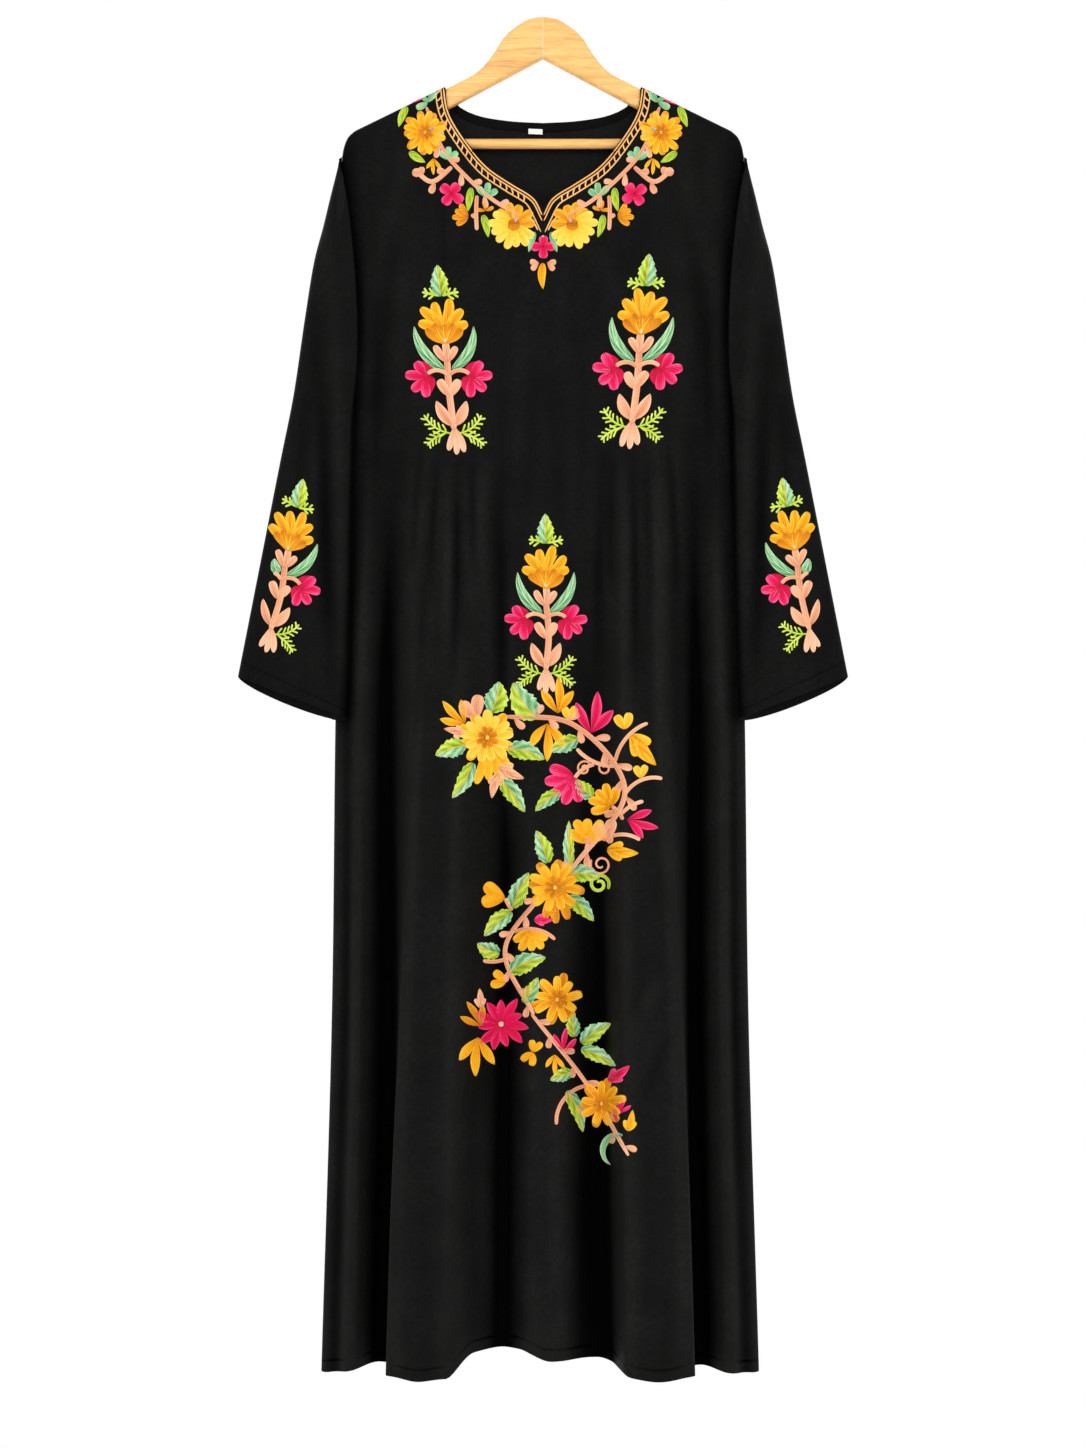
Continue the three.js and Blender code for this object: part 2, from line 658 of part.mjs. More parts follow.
const facingInset = WALL + SEAM;
const facingDrops = [0, FACING_WIDTH / 2, FACING_WIDTH];
addStrip("back_neck_facing", -FACING_HALF, FACING_HALF, FACING_STEPS, facingDrops, facingInset, cloth());
const labelInset = facingInset + FACING_WALL + SEAM;
const labelFrom = LABEL_X - LABEL_WIDTH / 2;
const labelDrops = [LABEL_DROP - LABEL_HEIGHT / 2, LABEL_DROP + LABEL_HEIGHT / 2];
addStrip("label", labelFrom, labelFrom + LABEL_WIDTH, LABEL_STEPS, labelDrops, labelInset, tape());

const board = hangerBoard();
addPiece("hanger_left", armGeometry(board, -1), wood());
addPiece("hanger_right", armGeometry(board, 1), wood());
addPiece("hanger_bar", barGeometry(BAR_RADIUS, BAR_HALF), wood());

export default kaftan;
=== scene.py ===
# Looks of the long black kaftan with chain-stitch flowers on its wooden hanger.
# Tables and sizes are in millimetres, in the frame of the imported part: +Z up, front towards -Y.
import math
import bpy
import numpy as np
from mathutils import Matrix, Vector, noise
from mathutils.bvhtree import BVHTree


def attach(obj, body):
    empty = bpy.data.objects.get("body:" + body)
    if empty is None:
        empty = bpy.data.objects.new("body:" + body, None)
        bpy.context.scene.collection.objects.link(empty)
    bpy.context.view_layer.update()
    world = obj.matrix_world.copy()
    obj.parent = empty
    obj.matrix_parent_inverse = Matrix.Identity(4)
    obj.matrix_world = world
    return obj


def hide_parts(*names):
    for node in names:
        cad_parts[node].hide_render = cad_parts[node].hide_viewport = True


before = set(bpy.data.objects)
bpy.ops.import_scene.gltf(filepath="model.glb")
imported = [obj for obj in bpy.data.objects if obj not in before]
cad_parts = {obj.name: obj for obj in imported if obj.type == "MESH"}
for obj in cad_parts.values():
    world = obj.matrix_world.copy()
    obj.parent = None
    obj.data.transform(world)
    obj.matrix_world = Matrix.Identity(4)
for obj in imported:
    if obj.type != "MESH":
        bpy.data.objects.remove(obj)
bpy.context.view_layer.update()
MM = 0.001

# Camera, at the angle of the photo: level with the middle of the picture, straight from the front
VIEW_DISTANCE = 2700
VIEW_LEVEL = -749
VIEW_HEIGHT_DEG = 31.74

# Cloth form, the same sizes as the solids
WALL = 0.9
SEAM = 0.3
HEM_HALF = 232
HEM_SIDE = -1434
NECK_X, NECK_Z = 104, -74
SHOULDER_END_X, SHOULDER_END_Z = 199, -120.5
TIP_X, TIP_Z = 213, -148
UNDERARM_Z = -390
ARMHOLE_DEPTH = 15
ROUND_OVER = 10
SIDE_ROUND = 9
SIDE_FREE = 22
SWELL_REACH = 90
SLEEVE_CLEARANCE = 3.5
SWAY, SWAY_FROM, SWAY_FULL = -3, -300, -740
ARMHOLE_FULLNESS = 0.75
SLEEVE_FULLNESS = 0.7
TUCK_FULLNESS = 1.2
CUFF_BACK_DROP = 10
HEM_TURN = 12
HEM_BAND = 16
HEM_ROWS = (14.4, 13.3, 12.6, 12, 11.4, 10.7, 9.6, 7, 4, 1.6, 0.5, 0)
CREASE_DEPTH = 1.4
PANEL_WAVE, SLEEVE_WAVE = 0.9, 0.7
SLEEVE_STEP, SLEEVE_SIDES = 4.5, 96

# Painted shade of the cloth, a lightness that scales its colour, gloss and sheen: the cloth's form darkens it
# in folds, grooves and beside the sleeves, and lightens it on ridges, slopes and the inner skin
PAINTED_SHADE_LEVEL = 0.45
PAINTED_SHADE_DARKEST, PAINTED_SHADE_LIGHTEST = 0.07, 0.75
BROAD_REACH, BROAD_SHADE = 13, 0.006
NEAR_REACH, NEAR_SHADE = 3, 0.15
SLOPE_SHADE, SLOPE_MOST = 0.1, 1.5
SIDE_SHADE, SIDE_SHADE_WIDTH = 0.36, 26
WAVE_SHADE = 0.09
SLEEVE_SIDE_SHADE = 0.3
HEM_SHADE, CUFF_SHADE = 0.3, 0.12
INNER_SHADE = 0.6
FACING_SHARE = 0.75


def table(columns, *rows):
    """Columns of a short table, by name."""
    return dict(zip(columns.split(), np.array(rows, float).T))


def rows_of(data):
    """The rows of a table, each as a dictionary."""
    return [dict(zip(data, row)) for row in zip(*data.values())]


SHOULDER_TIP = table(
    "x z",
    (213, -148), (211, -138), (206.5, -127.5), (199, -120.5),
)
FRONT_NECK = table(
    "x z",
    (104, -74), (99, -103), (80, -135), (59, -160), (33, -178), (12, -191), (0, -204),
)
BACK_NECK = table("x z", (104, -74), (90, -92), (70, -102), (36, -108), (0, -110))
BODY_WIDTH = table("z half", (-148, 213), (-390, 203), (-740, 217), (-1007, 220), (-1434, 232))
BODY_SWELL = table(
    "z swell",
    (-110, 0), (-300, 9), (-500, 12), (-740, 15), (-1100, 19), (-1434, 22),
)
FRONT_HEM = table(
    "x z",
    (-232, -1434), (-176, -1423), (-127, -1422), (-105, -1428), (-86, -1425), (-62, -1404),
    (-22, -1404), (12, -1415), (60, -1415), (84, -1420), (114, -1429), (132, -1423),
    (164, -1426), (232, -1434),
)
BACK_HEM = table(
    "x z",
    (-232, -1434), (-130, -1424), (-60, -1409), (30, -1412), (80, -1408), (140, -1424),
    (232, -1434),
)
FOLD_COLUMNS = "at flat left right depth lean_left lean_right start full"
FRONT_FOLDS = table(
    FOLD_COLUMNS,
    (-199, 0, 30, 30, 14, 0, 0, -420, -1100),
    (-168, 0, 30, 28, -20, 0, 0, -300, -900),
    (-105, 20, 34, 46, 40, -30, -12, -330, -1300),
    (-46, 4, 34, 34, -12, 0, 0, -420, -1200),
    (2, 4, 36, 40, 9, 0, 0, -560, -1300),
    (62, 4, 36, 20, -12, 0, 0, -420, -1200),
    (114, 15, 24, 34, 38, -6, 26, -330, -1300),
    (168, 0, 26, 30, -20, 0, 0, -300, -900),
    (200, 0, 30, 28, 12, 0, 0, -420, -1100),
)
BACK_FOLDS = table(
    FOLD_COLUMNS,
    (-196, 0, 28, 30, 12, 0, 0, -420, -1100),
    (-158, 0, 32, 30, -18, 0, 0, -320, -950),
    (-110, 12, 36, 44, 34, -22, -10, -360, -1300),
    (-52, 0, 38, 40, -14, 0, 0, -400, -1200),
    (2, 8, 38, 38, 20, 4, 16, -300, -1200),
    (56, 0, 36, 40, -14, 0, 0, -420, -1200),
    (110, 12, 42, 34, 34, 10, 22, -360, -1300),
    (158, 0, 30, 32, -18, 0, 0, -320, -950),
    (196, 0, 30, 28, 12, 0, 0, -420, -1100),
)
SLEEVE_RINGS = table(
    "top_x top_z low_x low_y low_z depth tuck lift drop sway",
    (213, -148, 203, 0, -390, 15, 0, 0, 0, 1),
    (214.5, -150.5, 206.5, -0.5, -392, 15, -3, 0, 0, 0.8),
    (215.7, -153.5, 209, -5, -394, 15, -3.5, 3.5, 0, 0.6),
    (217, -158, 206, -12, -397, 15, 13.5, 4, 0, 0.4),
    (218.5, -164, 200.5, -17, -402, 15, 13, 6, 0, 0.2),
    (224, -186, 199, -20, -418, 15.5, 5, 5, 0, 0),
    (232, -220, 199.3, -20, -446, 16, 0, 3, 0, 0),
    (242, -258, 199.8, -20, -480, 16, 0, 1, 0, 0),
    (252, -319, 200.5, -20, -525, 16, 0, 0, 0, 0),
    (264, -400, 201.5, -20, -580, 16, 0, 0, 0, 0),
    (278, -470, 202.5, -20, -625, 16, 0, 0, 0, 0),
    (300, -582, 204, -20, -690, 17, 0, 0, 0.5, 0),
    (323, -699, 206, -20, -743, 18, 0, 0, 1, 0),
)

# Soft creases laid over the form. Each runs from (x, z) to (to_x, to_z) with a sideways bow,
# and is a ridge where its depth is above 0, a trough where it is below. width is its half width.
CREASE_COLUMNS = "x z to_x to_z bow width depth"
FRONT_CREASES = table(
    CREASE_COLUMNS,
    (-118, -470, -126, -760, 3, 9, -2.2),
    (-100, -455, -104, -700, -2, 8, 1.6),
    (-86, -462, -82, -690, 3, 8, -2.0),
    (-62, -468, -66, -640, 2, 9, 1.6),
    (-50, -480, -44, -760, -3, 10, -1.7),
    (-136, -520, -146, -900, 4, 12, 2.2),
    (-28, -560, -32, -880, 3, 12, 1.6),
    (66, -455, 60, -690, 3, 9, -2.0),
    (84, -462, 86, -640, -3, 8, 1.7),
    (100, -468, 106, -760, 2, 9, -2.2),
    (122, -480, 124, -820, -3, 10, 2.0),
    (138, -500, 146, -900, 3, 12, -2.0),
    (34, -700, 30, -1080, 4, 12, 1.5),
    (-160, -250, -182, -560, 6, 14, -2.4),
    (-186, -220, -192, -470, 4, 10, 2.0),
    (160, -240, 182, -560, -6, 14, -2.4),
    (186, -225, 190, -470, -4, 10, 2.0),
    (-140, -140, -176, -300, 5, 12, 1.6),
    (142, -145, 178, -310, -5, 12, 1.6),
    (130, -1010, 92, -1075, 4, 10, 1.8),
    (140, -1060, 104, -1140, 3, 9, -1.5),
    (-62, -1120, -56, -1370, 4, 13, 2.4),
    (-20, -1090, -14, -1390, -4, 14, -2.6),
    (22, -1130, 30, -1400, 4, 13, 2.2),
    (52, -1060, 58, -1380, -3, 12, -2.0),
    (-196, -760, -205, -1200, 3, 10, -2.0),
    (196, -780, 204, -1240, -3, 10, -2.0),
    (-172, -900, -176, -1330, -3, 9, 1.8),
    (176, -940, 182, -1360, 3, 9, 1.8),
    (-110, -468, -116, -640, 2, 5, -1.5),
    (-94, -470, -94, -720, -2, 5, -1.6),
    (-74, -468, -70, -600, 2, 5, -1.4),
    (-126, -440, -138, -600, 2, 5, -1.4),
    (74, -462, 72, -620, 2, 5, -1.5),
    (92, -464, 95, -740, -2, 5, -1.6),
    (110, -462, 118, -640, 2, 5, -1.4),
    (130, -440, 142, -620, -2, 5, -1.4),
    (-60, -250, -84, -330, 4, 14, 1.2),
    (58, -245, 82, -330, -4, 14, 1.2),
)
BACK_CREASES = table(
    CREASE_COLUMNS,
    (-80, -170, -96, -420, 4, 14, -2.0),
    (-30, -150, -38, -400, 3, 14, 1.6),
    (34, -155, 44, -430, -3, 13, -1.8),
    (88, -175, 104, -440, -4, 14, 1.8),
    (-170, -250, -184, -560, 5, 12, -2.2),
    (168, -240, 186, -580, -5, 12, -2.2),
    (-136, -480, -142, -860, 3, 11, 2.2),
    (-80, -520, -76, -820, -3, 10, -2.0),
    (-30, -560, -24, -900, 3, 12, 1.8),
    (28, -540, 34, -880, -3, 11, -1.9),
    (84, -500, 82, -800, 3, 10, 2.0),
    (140, -520, 148, -900, -4, 12, -2.0),
    (-140, -1000, -146, -1340, 3, 11, -2.2),
    (-70, -1060, -64, -1380, 4, 12, 2.3),
    (-22, -1100, -20, -1370, -3, 12, -2.0),
    (36, -1080, 42, -1390, 4, 13, 2.2),
    (78, -1120, 80, -1380, 3, 10, -2.0),
    (144, -1020, 150, -1350, -3, 11, 2.0),
)
# Sleeve creases are counted outwards from the middle of the garment, for the front and the back.
SLEEVE_CREASES = table(
    CREASE_COLUMNS,
    (222, -250, 212, -700, 3, 7, 2.2),
    (240, -300, 222, -720, 0, 9, -3.4),
    (234, -300, 252, -690, 4, 9, 1.8),
    (244, -360, 276, -690, -3, 9, -1.6),
    (226, -170, 238, -330, 3, 8, 1.6),
    (258, -450, 294, -660, 3, 8, 1.4),
)


def mix(a, b, t):
    return a + (b - a) * t


def ease(t):
    return t * t * (3 - 2 * t)


def ramp(start, end, value):
    return ease(np.clip((value - start) / (end - start), 0, 1))


def curve(key, value, at):
    """Smooth values between the rows of a table, that never pass beyond them."""
    order = np.argsort(key)
    x, y = key[order], value[order]
    step = np.diff(x)
    rise = np.diff(y) / step
    slope = np.concatenate(([rise[0]], np.zeros(len(x) - 2), [rise[-1]]))
    same = rise[:-1] * rise[1:] > 0
    first, second = 2 * step[1:] + step[:-1], step[1:] + 2 * step[:-1]
    safe = np.where(same, rise[:-1], 1), np.where(same, rise[1:], 1)
    slope[1:-1] = np.where(same, (first + second) / (first / safe[0] + second / safe[1]), 0)
    at = np.clip(at, x[0], x[-1])
    i = np.clip(np.searchsorted(x, at) - 1, 0, len(step) - 1)
    t = (at - x[i]) / step[i]
    start, end = slope[i] * step[i], slope[i + 1] * step[i]
    return (
        y[i] * (1 + 2 * t) * (1 - t) ** 2 + start * t * (1 - t) ** 2
        + y[i + 1] * t * t * (3 - 2 * t) + end * t * t * (t - 1)
    )


def eased_steps(key, value, at):
    """Values between the rows of a table, level at each row."""
    i = np.clip(np.searchsorted(key, at) - 1, 0, len(key) - 2)
    return mix(value[i], value[i + 1], ease(np.clip((at - key[i]) / (key[i + 1] - key[i]), 0, 1)))


def smooth_line(points, count):
    """A smooth curve through points, as evenly spaced points."""
    p = np.array(points, float)
    p = np.vstack([2 * p[0] - p[1], p, 2 * p[-1] - p[-2]])
    knots = np.sqrt(np.linalg.norm(np.diff(p, axis=0), axis=1))
    fine = []
    for i in range(1, len(p) - 2):
        a, b, c = knots[i - 1], knots[i], knots[i + 1]
        start = (p[i] - p[i - 1]) / a - (p[i + 1] - p[i - 1]) / (a + b) + (p[i + 1] - p[i]) / b
        end = (p[i + 1] - p[i]) / b - (p[i + 2] - p[i]) / (b + c) + (p[i + 2] - p[i + 1]) / c
        t = np.linspace(0, 1, 24, endpoint=i == len(p) - 3)[:, None]
        fine.append(
            p[i] * (1 + 2 * t) * (1 - t) ** 2 + start * b * t * (1 - t) ** 2
            + p[i + 1] * t * t * (3 - 2 * t) + end * b * t * t * (t - 1)
        )
    line = np.vstack(fine)
    return spaced(line, np.linspace(0, 1, count))


def arc_length(line):
    return np.concatenate(([0], np.cumsum(np.linalg.norm(np.diff(line, axis=0), axis=1))))


def spaced(line, shares):
    """Points of a line at shares of its length."""
    length = arc_length(line)
    return np.stack([np.interp(shares * length[-1], length, c) for c in line.T], axis=-1)


def quarter_round(distance, radius):
    return np.sqrt(1 - (1 - np.clip(distance / radius, 0, 1)) ** 2)


def shoulder_level(x):
    reach = np.abs(x)
    slope = (SHOULDER_END_Z - NECK_Z) / (SHOULDER_END_X - NECK_X)
    tip = curve(SHOULDER_TIP["x"], SHOULDER_TIP["z"], reach)
    return np.where(reach < SHOULDER_END_X, NECK_Z + slope * (reach - NECK_X), tip)


def sway(z):
    return SWAY * ramp(SWAY_FROM, SWAY_FULL, z)


def armhole_depth(z):
    t = np.clip((z - TIP_Z) / (UNDERARM_Z - TIP_Z), 0, 1)
    return ARMHOLE_DEPTH * np.sin(np.pi * t) ** ARMHOLE_FULLNESS


def half_width(z):
    return curve(BODY_WIDTH["z"], BODY_WIDTH["half"], z)


def fold_shift(folds, hem_x, z):
    """Height and sideways shift of all folds of a panel, for the cloth that ends at hem_x."""
    out = side = 0
    for fold in rows_of(folds):
        away = hem_x - fold["at"]
        reach = np.where(away < 0, fold["left"], fold["right"])
        d = np.clip(np.maximum(0, np.abs(away) - fold["flat"]) / reach, 0, 1)
        height = (1 - d * d) ** 2 * ramp(fold["start"], fold["full"], z)
        across = np.clip(0.5 + away / max(1, 2 * fold["flat"]), 0, 1)
        out = out + fold["depth"] * height
        side = side + mix(fold["lean_left"], fold["lean_right"], across) * height
    return out, side


def crease_height(creases, x, z):
    """Height of all creases at places of a panel."""
    height = 0
    for c in rows_of(creases):
        along = np.array([c["to_x"] - c["x"], c["to_z"] - c["z"]])
        length = np.linalg.norm(along)
        along = along / length
        t = ((x - c["x"]) * along[0] + (z - c["z"]) * along[1]) / length
        inside = np.sin(np.pi * np.clip(t, 0, 1))
        off = (x - c["x"]) * along[1] - (z - c["z"]) * along[0] - c["bow"] * inside
        height = height + c["depth"] * inside**0.8 * np.exp(-((off / c["width"]) ** 2))
    return height


def unevenness(x, z, seed):
    """Slight waves of hanging cloth, broad and fine, in millimetres."""
    broad = np.stack([x.ravel() / 46, z.ravel() / 170, np.full(x.size, seed)], axis=1)
    fine = np.stack([x.ravel() / 17, z.ravel() / 210, np.full(x.size, seed + 5)], axis=1)
    waves = [noise.noise(Vector(a)) + 0.8 * noise.noise(Vector(b)) for a, b in zip(broad, fine)]
    return np.array(waves).reshape(x.shape)


def cavity(height, reach):
    """Height of each place over the mean of the cloth beside it, in its row."""
    weight = np.exp(-0.5 * (np.arange(-3 * reach, 3 * reach + 1) / reach) ** 2)
    weight /= weight.sum()
    padded = np.pad(height, ((0, 0), (3 * reach, 3 * reach)), mode="edge")
    return height - np.stack([np.convolve(row, weight, mode="valid") for row in padded])


def stitch_groove_shade(above, strength):
    """Painted shade in the groove of the stitches that hold a hem: a darker line, for heights above its edge.
    """
    return strength * np.exp(-(((above - HEM_TURN) / 1.2) ** 2))


def panel_shade(panel, grid):
    """Painted shade of a panel: darker down in its folds, beside the sleeves and along its stitches, lighter
    on its ridges and slopes.
    """
    height = panel["facing"] * grid[..., 1]
    rise, run = np.abs(np.gradient(height, axis=1)), np.abs(np.gradient(grid[..., 0], axis=1))
    slope = rise / np.maximum(0.5, run)
    # Painted shade in the folds and painted highlight on the ridges, from how far the cloth stands over its
    # neighbours; painted light on steep slopes.
    shade = PAINTED_SHADE_LEVEL + BROAD_SHADE * cavity(height, BROAD_REACH) + NEAR_SHADE * cavity(height, NEAR_REACH)
    shade = shade + SLOPE_SHADE * np.clip(slope, 0, SLOPE_MOST)
    level = grid[..., 2]
    # Painted shadow of the sleeve on the body beside it, below the underarm, and painted shade in the hem's
    # stitch groove.
    beside = ramp(SIDE_SHADE_WIDTH, 0, half_width(level) - np.abs(grid[..., 0]))
    beside = beside * ramp(UNDERARM_Z - 380, UNDERARM_Z - 340, level)
    shade = shade - SIDE_SHADE * beside - stitch_groove_shade(level - level[-1:], HEM_SHADE)
    return np.clip(shade, PAINTED_SHADE_DARKEST, PAINTED_SHADE_LIGHTEST)


def panel_point(panel, hem_x, x, z, creased=True):
    half = half_width(z)
    from_side = np.maximum(0, half - np.abs(x))
    from_shoulder = np.maximum(0, shoulder_level(x) - z)
    swell = curve(BODY_SWELL["z"], BODY_SWELL["swell"], z) * ramp(0, SWELL_REACH, from_side)
    full = ROUND_OVER * quarter_round(from_shoulder, ROUND_OVER) + swell
    edge = np.where(z > UNDERARM_Z, np.minimum(armhole_depth(z), full), 0)
    out, side = fold_shift(panel["folds"], hem_x, z)
    free = ramp(SIDE_ROUND, SIDE_ROUND + SIDE_FREE, from_side)
    out = mix(edge, full, quarter_round(from_side, SIDE_ROUND)) + out * free
    placed = x + side * free + sway(z)
    if creased:
        settled = ramp(2, 30, from_side) * ramp(4, 40, from_shoulder)
        extra = CREASE_DEPTH * crease_height(panel["creases"], placed, z)
        extra = extra + PANEL_WAVE * unevenness(placed, z, panel["facing"])
        out = out + extra * settled
    return np.stack([placed, panel["facing"] * (SEAM / 2 + out), z], axis=-1)


def top_edge(neck):
    """Top edge of a panel from the left armhole to the right one, and its shoulder's share."""
    tip = smooth_line(np.stack([SHOULDER_TIP["x"], SHOULDER_TIP["z"]], axis=1), 40)
    line = smooth_line(np.stack([neck["x"], neck["z"]], axis=1), 200)
    half = np.vstack([tip, line])
    whole = np.vstack([half[:-1] * (-1, 1), half[::-1]])
    shoulder = arc_length(np.vstack([tip, line[:1]]))[-1] / arc_length(whole)[-1]
    return whole, shoulder


def panel_grid(panel, columns, rows):
    """Outer points of a panel, row by row from its top edge to the hem, left to right."""
    inner = HEM_HALF - SIDE_ROUND
    fine = np.linspace(-inner, inner, 1500)
    cloth = arc_length(panel_point(panel, fine, fine, np.full(fine.shape, HEM_SIDE), False))
    shares = np.linspace(0, 1, columns)
    line, shoulder = top_edge(panel["neck"])
    for corner in (shoulder, 0.5, 1 - shoulder):
        shares[np.argmin(np.abs(shares - corner))] = corner
    hem_x = np.interp(shares * cloth[-1], cloth, fine)
    turn = np.linspace(0, 1, 6)[:-1] * np.pi / 2
    edge = HEM_HALF - SIDE_ROUND * (1 - np.cos(turn))
    hem_x = np.concatenate([-edge, hem_x, edge[::-1]])
    outer = np.linspace(0, 0.004, 6)[:-1]
    tops = spaced(line, np.concatenate([outer, mix(0.004, 0.996, shares), 1 - outer[::-1]]))
    for corner in (shoulder, 0.5, 1 - shoulder):
        nearest = np.argmin(np.abs(shares - corner)) + len(outer)
        tops[nearest] = spaced(line, np.array([corner]))[0]
    hem_z = eased_steps(panel["hem"]["x"], panel["hem"]["z"], hem_x)
    rounding = ROUND_OVER * (1 - np.cos(np.linspace(0, np.pi / 2, 7)))
    start = tops[:, 1] - ROUND_OVER
    down = np.linspace(0, 1, rows)[1:] ** 1.08
    levels = [tops[:, 1] - drop for drop in rounding]
    levels += [mix(start, hem_z + HEM_BAND, d) for d in down]
    levels += [hem_z + above for above in HEM_ROWS]
    z = np.array(levels)
    share = mix(tops[:, 0] / TIP_X, hem_x / HEM_HALF, (tops[:, 1] - z) / (tops[:, 1] - hem_z))
    grid = panel_point(panel, hem_x, share * half_width(z), z)
    above = z - hem_z
    groove = 0.55 * np.exp(-(((above - HEM_TURN) / 0.9) ** 2))
    groove = groove - 0.35 * ramp(HEM_TURN + 1, HEM_TURN - 1, above)
    grid[..., 1] -= panel["facing"] * groove * ramp(1, 8, half_width(z) - np.abs(share * half_width(z)))
    return grid


def sleeve_grid(side, sides):
    """Outer points of a sleeve and their painted shade, ring by ring from the armhole seam to the cuff."""
    r = SLEEVE_RINGS
    mid = np.stack([r["top_x"] + r["low_x"], r["top_z"] + r["low_z"]], axis=1) / 2
    length = arc_length(mid)
    at = [0.0]
    for a, b in zip(length[:-1], length[1:]):
        steps = max(3, int((b - a) / SLEEVE_STEP))
        at += list(mix(a, b, np.arange(1, steps + 1) / steps))
    hem = [length[-1] - above for above in HEM_ROWS]
    at = np.array([a for a in at if a < length[-1] - HEM_BAND] + hem)[:, None]
    ring = {name: curve(length, r[name], at) for name in r}
    angle = (np.arange(sides) / sides * 2 * np.pi)[None, :]
    t = (1 - np.cos(angle)) / 2
    level = mix(ring["top_z"], ring["low_z"], t)
    swing = np.sin(angle)
    front, back = np.maximum(0, swing), np.maximum(0, -swing)
    seam = np.clip(at / length[1], 0, 1)
    puffed = ring["depth"] * np.abs(swing) ** SLEEVE_FULLNESS
    depth = np.sign(swing) * mix(armhole_depth(level), puffed, seam)
    x = mix(ring["top_x"], ring["low_x"], t) - ring["tuck"] * front**TUCK_FULLNESS + SEAM
    y = ring["low_y"] * t - depth - ring["lift"] * front
    middle = half_width(level) + side * sway(level) - SIDE_ROUND
    push = np.maximum(1, (SIDE_ROUND + SLEEVE_CLEARANCE) / np.maximum(0.1, np.hypot(x - middle, y)))
    push = mix(1, push, seam)
    x, y = middle + (x - middle) * push, y * push
    z = level - ring["drop"] * CUFF_BACK_DROP * back
    wave = crease_height(SLEEVE_CREASES, x, z) + SLEEVE_WAVE * unevenness(x, z, 3 + side)
    settled = np.abs(swing) ** 0.5 * ramp(0, 60, at)
    above = length[-1] - at
    groove = 0.5 * np.exp(-(((above - HEM_TURN) / 0.9) ** 2))
    y = y - np.sign(swing) * (wave - groove) * settled
    grid = np.stack([side * x + ring["sway"] * sway(level), y, z], axis=-1)
    # Painted shade: lighter on the sleeve's crease ridges, darker in its troughs, a painted shadow along its
    # inner edge by the body, and a darker line in the cuff's stitch groove.
    shade = PAINTED_SHADE_LEVEL + WAVE_SHADE * wave * settled - SLEEVE_SIDE_SHADE * ramp(0.9, 1, t)
    shade = np.clip(shade - stitch_groove_shade(above, CUFF_SHADE), PAINTED_SHADE_DARKEST, PAINTED_SHADE_LIGHTEST)
    order = np.arange(sides) if side < 0 else np.r_[0, sides - 1:0:-1]
    return grid[:, order], shade[:, order]


def grid_normals(grid, closed):
    if closed:
        across = np.roll(grid, -1, axis=1) - np.roll(grid, 1, axis=1)
    else:
        across = np.gradient(grid, axis=1)
    down = np.gradient(grid, axis=0)
    n = np.cross(down, across)
    return n / np.maximum(1e-9, np.linalg.norm(n, axis=-1, keepdims=True))


def grid_faces(rows, columns, closed):
    last = columns if closed else columns - 1
    r, c = np.meshgrid(np.arange(rows - 1), np.arange(last), indexing="ij")
    here, below, after = r * columns, (r + 1) * columns, (c + 1) % columns
    return np.stack([here + c, below + c, below + after, here + after], axis=-1).reshape(-1, 4)


def rim_of(rows, columns, closed):
    """Indices round the edge of a grid, so that the wall closes with a strip along them."""
    top = np.arange(columns)
    bottom = (rows - 1) * columns + np.arange(columns)
    if closed:
        return [np.append(top, top[0])[::-1], np.append(bottom, bottom[0])]
    left = np.arange(rows) * columns
    right = left + columns - 1
    return [np.concatenate([left, bottom[1:], right[::-1][1:], top[::-1][1:]])]


def wall(name, outer, inner, closed, shade):
    """A closed thin wall of cloth between two grids."""
    rows, columns = outer.shape[:2]
    points = np.concatenate([outer.reshape(-1, 3), inner.reshape(-1, 3)]) * MM
    skin = rows * columns
    faces = grid_faces(rows, columns, closed)
    parts = [faces, faces[:, ::-1] + skin]
    for loop in rim_of(rows, columns, closed):
        a, b = loop[:-1], loop[1:]
        parts.append(np.stack([b, a, a + skin, b + skin], axis=1))
    piece = mesh_object(name, points, np.vstack(parts), [crepe])
    # Painted shade of the outer skin, and an even, lighter painted level on the inner skin.
    painted_shade = np.concatenate([shade.ravel(), np.full(skin, INNER_SHADE)]).astype(np.float32)
    piece.data.attributes.new("painted_shade", "FLOAT", "POINT").data.foreach_set("value", painted_shade)
    return piece


def mesh_object(name, points, faces, materials):
    mesh = bpy.data.meshes.new(name)
    mesh.from_pydata([], [], [])
    mesh.vertices.add(len(points))
    mesh.vertices.foreach_set("co", np.asarray(points, np.float32).ravel())
    size = faces.shape[1]
    mesh.loops.add(faces.size)
    mesh.loops.foreach_set("vertex_index", faces.ravel().astype(np.int32))
    mesh.polygons.add(len(faces))
    mesh.polygons.foreach_set("loop_start", np.arange(len(faces), dtype=np.int32) * size)
    mesh.polygons.foreach_set("use_smooth", np.full(len(faces), True))
    for material in materials:
        mesh.materials.append(material)
    mesh.update(calc_edges=True)
    mesh.validate()
    obj = bpy.data.objects.new(name, mesh)
    bpy.context.scene.collection.objects.link(obj)
    return obj


def node_maker(material):
    """A short way to add shader nodes: kind, settings, and links as inputs."""
    tree = material.node_tree

    def add(kind, inputs=None, **settings):
        node = tree.nodes.new("ShaderNode" + kind)
        for name, value in settings.items():
            setattr(node, name, value)
        for key, value in (inputs or {}).items():
            if isinstance(value, bpy.types.NodeSocket):
                tree.links.new(value, node.inputs[key])
            else:
                node.inputs[key].default_value = value
        return node

    return add


def new_material(name):
    material = bpy.data.materials.new(name)
    material.use_nodes = True
    material.node_tree.nodes.clear()
    return material, node_maker(material)


def maths(add, operation, *values):
    return add("Math", dict(enumerate(values)), operation=operation).outputs[0]


